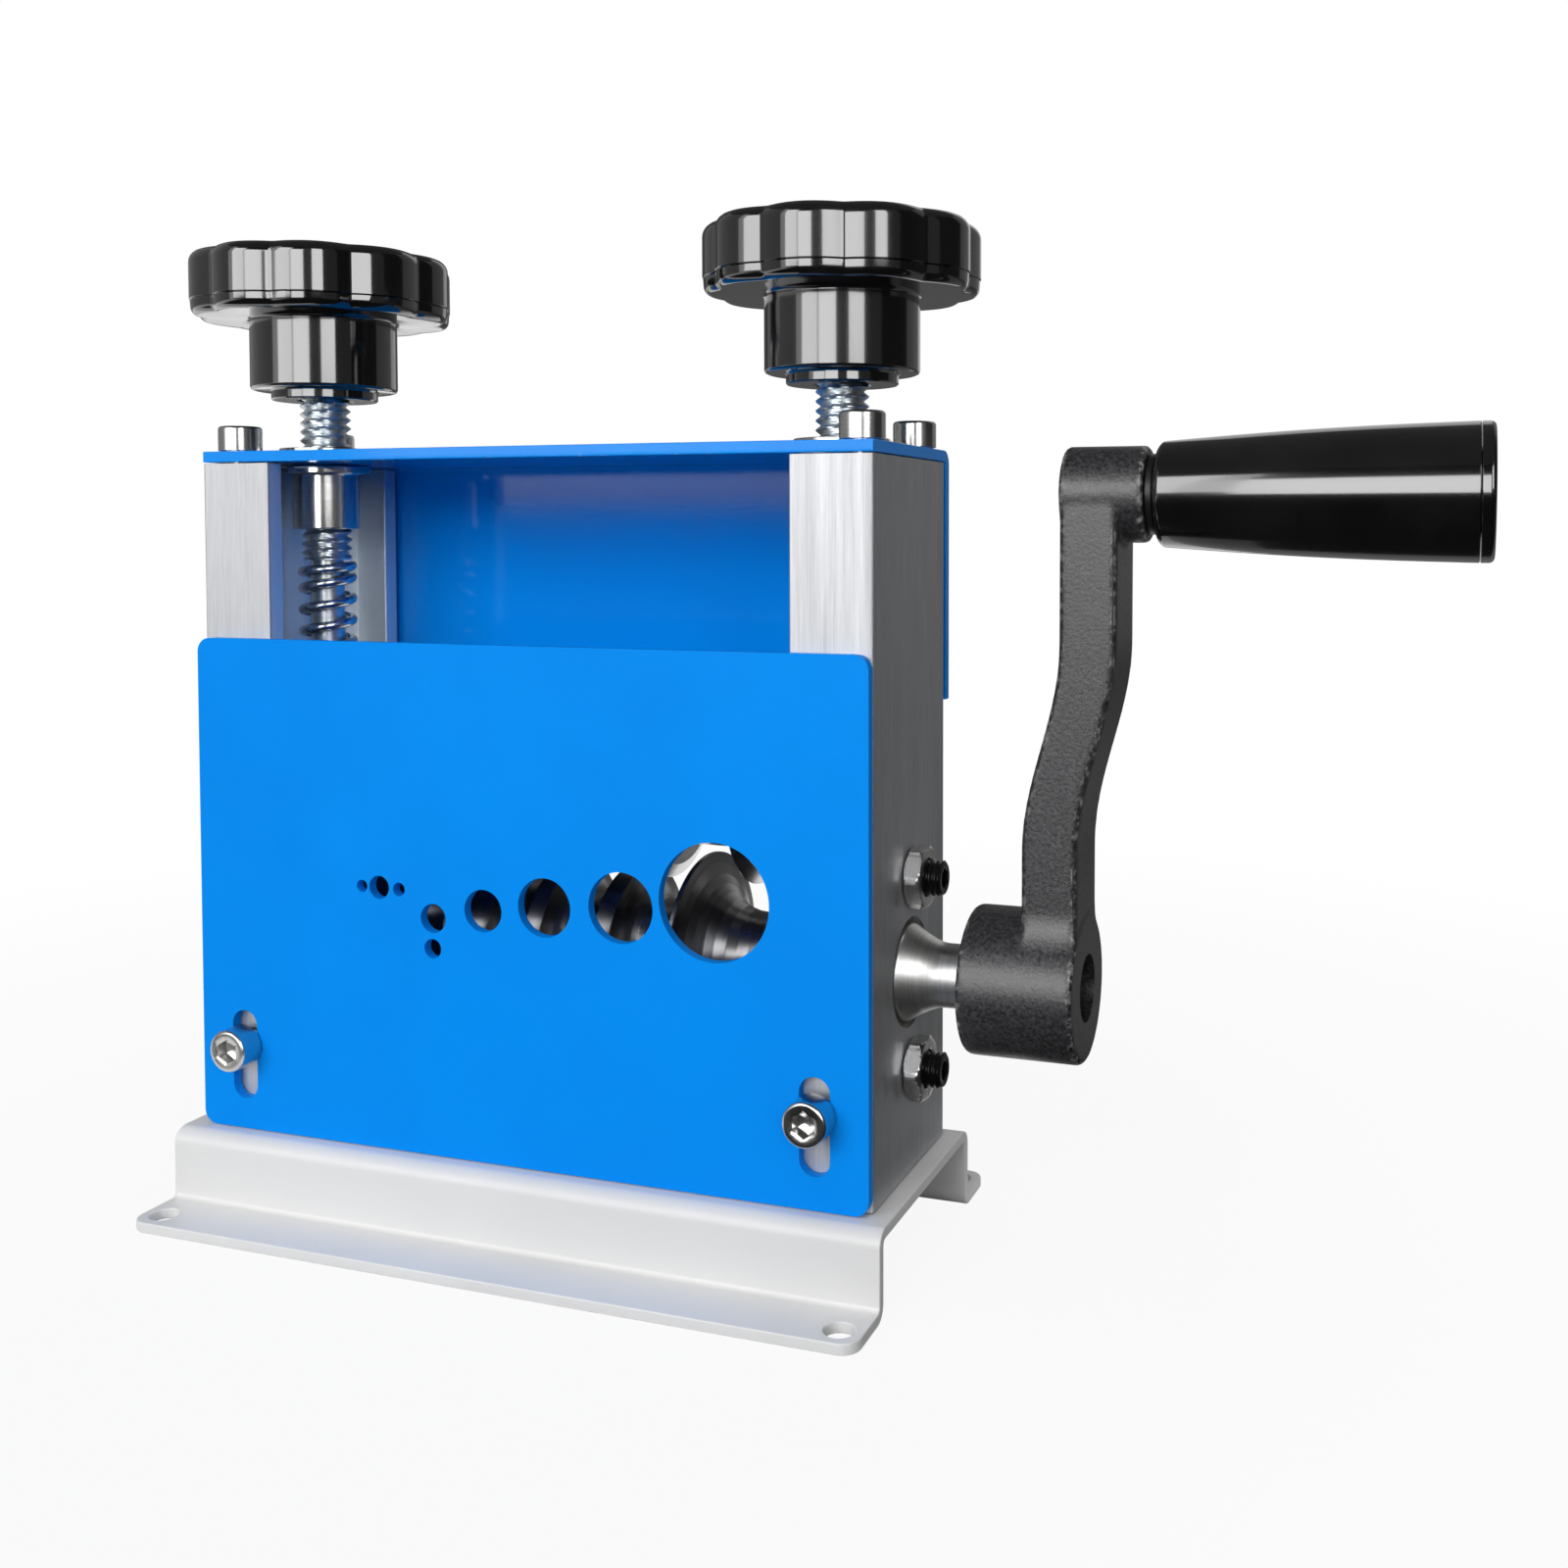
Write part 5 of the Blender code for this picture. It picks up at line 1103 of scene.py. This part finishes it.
grub("roller_socket_screw", 5.0, 10.5, (-54.0, 0, FEED_Z - 8.3), "-Z", 2.5, "roller_grub_screw")
grub("crank_socket_screw", 6.0, 8.5, (113.4, 7.3, FEED_Z), "+Y", 3.0, "crank_grub_screw")
snap_ring = solid("shaft_snap_ring", collar(65.3, 66.9, 7.4, 11.5, FEED_AXIS, "+X", edge=0.15))
dress(snap_ring, "feed", "black_oxide", BLACK_OXIDE, "shaft_retaining_ring")

# %% Bushes and bearing flange
BUSH_BORE_RADIUS, BUSH_RADIUS, BUSH_RIM = 8.3, 10.3, 11.8
BUSH_SIZES = (("right", 67.2, WALL_X, 83.1), ("left", -OUTER_X, -80.8, -78.8))
for side, low, step, high in BUSH_SIZES:
    bush = lathe([(low, BUSH_BORE_RADIUS), (low, BUSH_RADIUS), (step, BUSH_RADIUS),
                  (step, BUSH_RIM), (high, BUSH_RIM), (high, BUSH_BORE_RADIUS)],
                 FEED_AXIS, "+X", edge=0.2, ring=True)
    dress(solid(f"{side}_bronze_bush", bush), "frame", "bronze", BUSH_BRONZE, f"{side}_feed_bush")
flange_outline = soften(rectangle(-11.8, 11.8, -28.0, 28.0), 6.5, 8, closed=True)
bearing = solid("bearing_plate", raised(flange_outline, 75.8, 80.8, FEED_AXIS, "+X"))
bearing_boss = solid("boss", rod(67.2, 76.3, 11.5, FEED_AXIS, "+X"))
join_or_cut(bearing, "UNION", bearing_boss)
settle(bearing)
bpy.data.objects.remove(bearing_boss)
stud_holes = [hole(STUD_BORE, 74, 82, (0, 0, height), "+X")
              for height in (FEED_Z + STUD_RISE, FEED_Z - STUD_RISE)]
cut(bearing, hole(21.2, 66, 82, FEED_AXIS, "+X"), *stud_holes, edge=0.3)
dress(bearing, "frame", "aluminium", FLANGE_ALUMINIUM, "bearing_flange", sharp=0)

# %% [markdown]
# ## The crank
#
# The crank is one casting: a round hub, an arm that widens into it and steps
# outwards on its way up, and a boss for the grip. Three overlapping shapes
# are rebuilt as one skin by a voxel remesh and smoothed a little, which
# leaves the soft edges and fillets of a casting. The bores are cut after
# that, so that they stay crisp.

# %% Cast the crank
HUB_SPAN, HUB_RADIUS, BOSS_SPAN, BOSS_RADIUS = (100.8, 126.0), 16.2, (121.3, 138.9), 10.2
ARM_X, ARM_STEP, ARM_HALF_WIDTH, ARM_HALF_THICK = 119.6, 8.0, 10.0, 6.1
ARM_FOOT, FILLET_TOP, ARM_TOP, FILLET, STEP_FROM, STEP_HEIGHT = 9.9, 18.3, 104.8, 14, 30, 45
VOXEL = 0.62


def arm_shape():
    """A rounded bar: its middle steps outwards by a cosine, and a fillet widens it to the hub."""
    rise = np.concatenate([np.linspace(ARM_FOOT, FILLET_TOP, 12), np.linspace(20, ARM_TOP, 72)])
    rise = rise[:, None]
    share = np.clip((rise - STEP_FROM) / STEP_HEIGHT, 0, 1)
    middle = ARM_X + ARM_STEP * (1 - np.cos(pi * share)) / 2
    below = np.clip(FILLET_TOP - rise, 0, FILLET)
    fillet = ARM_HALF_WIDTH + FILLET - np.sqrt(FILLET ** 2 - below ** 2)
    half_width = np.where(rise < FILLET_TOP, fillet, ARM_HALF_WIDTH)
    section = rectangle(-ARM_HALF_THICK, ARM_HALF_THICK, -ARM_HALF_WIDTH, ARM_HALF_WIDTH)
    corner = soften(section, 1.5, 4, closed=True)
    across = middle + corner[:, 0]
    sideways = corner[:, 1] + np.sign(corner[:, 1]) * (half_width - ARM_HALF_WIDTH)
    return capped(np.stack(np.broadcast_arrays(across, sideways, FEED_Z + rise), -1))


hub_shape = rod(*HUB_SPAN, HUB_RADIUS, FEED_AXIS, "+X", 128, edge=1.0)
boss_shape = rod(*BOSS_SPAN, BOSS_RADIUS, GRIP_AXIS, "+X", edge=0.8)
crank = solid("cast_crank", hub_shape, arm_shape(), boss_shape)
remesh = crank.modifiers.new("one skin", "REMESH")
remesh.mode, remesh.voxel_size, remesh.use_smooth_shade = "VOXEL", VOXEL * MM, True
relax = crank.modifiers.new("soft edges", "SMOOTH")
relax.factor, relax.iterations = 0.5, 3
mark_edges(settle(crank), low=9, high=24)
cut(crank, hole(14.6, 100, 127, FEED_AXIS, "+X", 96), hole(10.6, 124.5, 140, GRIP_AXIS, "+X", 72),
    hole(6.6, 6.0, 17, (113.4, 0, FEED_Z), "+Y", 48), edge=0)
crank.data.polygons.foreach_set("use_smooth", np.ones(len(crank.data.polygons), bool))
dress(crank, "feed", "cast_black", CAST_BLACK, "crank_arm", sharp=45)

# %% Turn the grip
swell = [(142.0 + 62.3 * step, 11.1 + 2.9 * step + 0.5 * sin(pi * step))
         for step in np.linspace(0, 1, 24)]
grip_profile = [(140.8, 5.3), (140.8, 9.9)] + swell + [(204.3, 8.3), (194.8, 8.3), (194.8, 5.3)]
grip_edges = [0.9, 0.9] + [0.4] * 23 + [0.25, 0.9, 0.9, 0.9]
grip = lathe(grip_profile, GRIP_AXIS, "+X", 144, edge=grip_edges, steps=5, ring=True)
dress(solid("tapered_grip", grip), "grip", "black_phenolic", GRIP_BLACK, "handle_grip")
cap = lathe([(202.1, 0), (202.1, 8.0), (204.4, 8.0), (204.4, 14.0), (207.1, 14.0), (207.1, 0)],
            GRIP_AXIS, "+X", 144, edge=[1.0, 1.0, 0.3, 0.2, 1.1, 1.0], steps=5)
dress(solid("grip_cap", cap), "grip", "black_phenolic", GRIP_BLACK, "grip_end_cap")
spindle = lathe([(124.8, 0), (124.8, 5), (195.1, 5), (195.1, 8), (200.1, 8), (200.1, 0)],
                GRIP_AXIS, "+X", 72)
dress(solid("grip_pin", spindle), "feed", "bright_steel", SPINDLE_STEEL, "grip_spindle")
grip_washer = solid("grip_thrust_washer", collar(139.1, 140.5, 5.3, 8.5, GRIP_AXIS, "+X"))
dress(grip_washer, "feed", "black_oxide", BLACK_OXIDE, "grip_washer")

# %% [markdown]
# ## Slider blocks and blades
#
# Behind the plate two bronze blocks slide in the channels and carry the
# blade shaft. Round blades sit on it over the grooves of the roller, with
# spacers between them and a nut at the end.

# %% Slider blocks
SLIDER_BRONZE = make_brushed("milled bronze", (0.5, 0.33, 0.15), (1500, 60, 1500), 0.36)


def node_box(node):
    """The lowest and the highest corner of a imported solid, in millimetres."""
    return [np.array(corner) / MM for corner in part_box(node)]


for name, side in (("left", -1), ("right", 1)):
    low, high = node_box(f"{name}_slider_block")
    face = min(abs(low[0]), abs(high[0]))
    plan = [(face, -19.1), (75.5, -19.1), (75.5, -11.8), (80.8, -11.8), (80.8, 11.8), (75.5, 11.8),
            (75.5, 19.1), (face, 19.1)]
    plan = soften([(side * x, y) for x, y in plan], 0.3, 2, closed=True)
    made = solid(f"{name}_bronze_slider", raised(plan, low[2], high[2]))
    relief = rectangle(side * 75.5, side * 82, -20, 20)
    window = rectangle(side * (face - 1), side * 75.9, -6.3, 6.3)
    span = sorted((side * (face - 1), side * (face + 13.7)))
    cut(made, raised(relief, 91, 97.0), raised(window, 110.8, 121.8),
        hole(12.6, *span, BLADE_AXIS, "+X"),
        hole(8.6, 120.8, 127, (side * PRESS_X, 0, 0), sides=48))
    dress(made, "carriage", "bronze", SLIDER_BRONZE, f"{name}_slider_block", sharp=0)

# %% Blade shaft, blades and spacers
BLADE_HALF, EDGE_HALF, BLADE_BORE, BEVEL_FOOT, BLADE_RADIUS, SPACER_END = 1.5, 0.1, 11, 18, 21, 1.8
(low_x, _, _), (high_x, _, _) = node_box("blade_shaft")
(nut_low, _, _), (nut_high, _, _) = node_box("blade_shaft_nut")
shoulder = high_x - 13.7
blade_shaft = lathe([(low_x, 0), (low_x, 6), (-shoulder, 6), (-shoulder, 13), (-36.57, 13),
                     (-36.57, 10.7), (nut_high, 10.7), (nut_high + 0.5, 10.2), (shoulder, 10.2),
                     (shoulder, 6), (high_x, 6), (high_x, 0)], BLADE_AXIS, "+X")
dress(solid("turned_blade_shaft", blade_shaft), "blades", "bright_steel",
      make_turned("bright arbor steel", BRIGHT, 0.24, BLADE_AXIS, ALONG_X), "blade_shaft")
for number, (x, _) in enumerate(GROOVES, 1):
    disc = lathe([(x - BLADE_HALF, BLADE_BORE), (x - BLADE_HALF, BEVEL_FOOT),
                  (x - EDGE_HALF, BLADE_RADIUS), (x + EDGE_HALF, BLADE_RADIUS),
                  (x + BLADE_HALF, BEVEL_FOOT), (x + BLADE_HALF, BLADE_BORE)],
                 BLADE_AXIS, "+X", 144, edge=0.05, steps=1, ring=True)
    dress(solid(f"round_blade_{number}", disc), "blades", "blade_steel", BLADE_STEEL,
          f"blade_{number}", sharp=20)
for number, ((left, _), (right, _)) in enumerate(zip(GROOVES, GROOVES[1:]), 1):
    sleeve = collar(left + SPACER_END, right - SPACER_END, BLADE_BORE, 13, BLADE_AXIS, "+X", 96,
                    edge=0.25)
    dress(solid(f"spacer_sleeve_{number}", sleeve), "blades", "bright_steel", SPINDLE_STEEL,
          f"blade_spacer_{number}")
along = [0, 0, 0.3, 0.7, 1.2, 6.8, 7.3, 7.7, 8.0, 8.0, 7.7, 0.3]
reach = [11.5, 12.1, 12.7, 13.3, 14.6, 14.6, 13.3, 12.7, 12.1, 11.5, 11.05, 11.05]
arbor_nut = nut_shape(along, reach, 12, hexagon_radius(25.0, 144), (nut_low, 0, BLADE_Z))
nut_steel = make_turned("bright arbor nut steel", BRIGHT, 0.28, BLADE_AXIS, ALONG_X, 1200.0)
dress(solid("arbor_nut", arbor_nut), "blades", "bright_steel", nut_steel, "blade_shaft_nut",
      sharp=22)

# %% [markdown]
# ## Floor and light
#
# The machine stands on a white floor in front of a white ground. The floor
# mixes lit white with its own white, so it stays white and keeps a faint
# shadow. Four soft boxes and a plain pale world light the object. Gloss
# doesn't see the boxes: it sees cards, which stand round the object, hang
# over it and lie on the floor, and which nothing else sees. Bright strips
# among them stand as stripes in the polished blacks, and dark ones keep the
# rest of the gloss black.


# %% White floor
FLOOR_HALF, WHITE = 6000, (1, 1, 1, 1)


def light_kind(tree):
    """1 for rays that look at the background, straight, in gloss or through glass."""
    path = tree.nodes.new("ShaderNodeLightPath").outputs
    seen = maths(tree, "MAXIMUM", path["Is Camera Ray"], path["Is Glossy Ray"])
    return maths(tree, "MAXIMUM", seen, path["Is Transmission Ray"])


def surface(tree, shader, kind="Material"):
    """Links a shader to the output of a material or a world."""
    out = tree.nodes.new(f"ShaderNodeOutput{kind}")
    tree.links.new(shader.outputs[0], out.inputs["Surface"])


def empty_tree(made):
    """The node tree of a material or a world, with nothing in it."""
    made.use_nodes = True
    made.node_tree.nodes.clear()
    return made.node_tree


def make_floor():
    """Lit white mixed with its own white, whose share grows from 0.92 near the object to 1."""
    made = bpy.data.materials.new("white floor")
    tree = empty_tree(made)
    lit = add_node(tree, "ShaderNodeBsdfDiffuse", {"Color": (0.55, 0.55, 0.55, 1)})
    own = add_node(tree, "ShaderNodeEmission", {"Color": WHITE, "Strength": 1.0})
    away = vectors(tree, "LENGTH", object_place(tree))
    share = maths(tree, "MULTIPLY", light_kind(tree), spread(tree, away, 0.15, 0.5, 0.92, 1.0))
    surface(tree, add_node(tree, "ShaderNodeMixShader",
                           {0: share, 1: lit.outputs[0], 2: own.outputs[0]}))
    return made


def level_sheet(x_low, x_high, y_low, y_high, height):
    """A level rectangle, as a shape of one face."""
    corners = rectangle(x_low, x_high, y_low, y_high)
    return np.array([(x, y, height) for x, y in corners], float), [[0, 1, 2, 3]]


floor = solid("floor", level_sheet(-FLOOR_HALF, FLOOR_HALF, -FLOOR_HALF, FLOOR_HALF, 0))
floor.data.materials.append(make_floor())
print("the floor is", round(floor.dimensions.x, 1), "m wide")

# %% Pale world
AMBIENT = 0.16

world = bpy.data.worlds.new("studio")
scene.world = world
sky = empty_tree(world)
ground = add_node(sky, "ShaderNodeBackground", {"Color": WHITE, "Strength": 1.0})
ambient = add_node(sky, "ShaderNodeBackground", {"Color": (0.96, 0.98, 1, 1), "Strength": AMBIENT})
surface(sky, add_node(sky, "ShaderNodeMixShader", {0: light_kind(sky), 1: ambient.outputs[0],
                                                   2: ground.outputs[0]}), "World")
print("the world lights at", AMBIENT)


# %% Soft boxes
def stand(azimuth, distance, height):
    """Place at an azimuth in degrees from the front, growing to the right."""
    return (distance * sin(radians(azimuth)), -distance * cos(radians(azimuth)), height)


def soft_box(name, place, width, height, radiance):
    """A lamp of power radiance * pi * area, so its size doesn't change how bright it looks."""
    lamp = bpy.data.lights.new(name, "AREA")
    lamp.shape, lamp.size, lamp.size_y = "RECTANGLE", width, height
    lamp.energy = radiance * pi * width * height
    made = bpy.data.objects.new(name, lamp)
    made.location = place
    towards = Vector((0, 0, place[2] * 0.5)) - made.location
    made.rotation_euler = towards.to_track_quat("-Z", "Y").to_euler()
    made.visible_glossy = False
    scene.collection.objects.link(made)
    return made


soft_box("front soft box", stand(-11, 1.6, 0.85), 1.5, 0.9, 5.3)
soft_box("right soft box", stand(43, 1.6, 0.8), 0.62, 1.0, 1.7)
soft_box("top soft box", (0, -0.2, 1.6), 1.2, 0.9, 1.2)
soft_box("back soft box", (0.2, 1.5, 1.3), 1.2, 0.8, 2.6)


# %% Cards for the reflections
CARD_RING, CARD_TOP, NEAR_FLOOR = 2.2, 2.2, 0.0006


def card(name, shape, level):
    """A surface that only reflections see; a level of 1 is white."""
    made = solid(name, shape)
    look = bpy.data.materials.new(name)
    tree = empty_tree(look)
    surface(tree, add_node(tree, "ShaderNodeEmission", {"Color": WHITE, "Strength": level}))
    made.data.materials.append(look)
    made.visible_camera = made.visible_diffuse = made.visible_shadow = False
    made.visible_transmission = False
    return made


def standing(azimuth_low, azimuth_high, low=0, high=CARD_TOP, distance=CARD_RING):
    """Part of a cylinder round the object: a ring of places at two heights."""
    azimuth = np.radians(np.linspace(azimuth_low, azimuth_high, 12))
    ring = np.stack([distance * np.sin(azimuth), -distance * np.cos(azimuth), 0 * azimuth], -1)
    points = np.vstack([ring + (0, 0, low), ring + (0, 0, high)]) / MM
    count = len(azimuth)
    return points, [[index, index + 1, index + 1 + count, index + count]
                    for index in range(count - 1)]


def lying(x_low, x_high, y_low, y_high, height=NEAR_FLOOR):
    """A level rectangle, in metres."""
    points, faces = level_sheet(x_low, x_high, y_low, y_high, height)
    return points / MM, faces


CARDS = [
    ("left strip card", standing(-38, -14, 0.21, 1.7), 5.0),
    ("seam strip card", standing(-14, -11, 0.25, 1.7), 3.0),
    ("middle strip card", standing(-11, 14, 0.08, 1.2), 5.6),
    ("gap card", standing(14, 32, 0.29, 1.7), 0.2),
    ("right strip card", standing(32, 54, 0.29, 1.7), 5.5),
    ("skirt card", standing(-38, 54, distance=2.25), 0.02),
    ("right card", standing(54, 80), 0.12),
    ("far right card", standing(80, 128), 0.03),
    ("right back card", standing(128, 168), 0.2),
    ("back card", standing(168, 190), 0.6),
    ("left back card", standing(190, 240), 0.08),
    ("far left card", standing(240, 312), 0.25),
    ("left card", standing(312, 322), 1.2),
    ("ceiling card", lying(-2.4, 2.4, -2.4, 2.4, CARD_TOP), 0.08),
    ("front floor card", lying(-0.6, 2.4, -2.4, -0.12), 0.02),
    ("crank floor card", lying(0.0, 2.4, -0.12, 0.03), 0.02),
    ("grip floor card", lying(0.13, 2.4, 0.03, 0.13), 0.02),
    ("near back floor card", lying(0.1, 0.13, 0.03, 0.13), 0.2),
    ("back floor card", lying(0.1, 2.4, 0.13, 0.5), 0.2),
    ("far floor card", lying(-0.95, 2.4, 0.5, 2.4), 0.1),
]
for entry in CARDS:
    card(*entry)
print("cards:", len(CARDS))
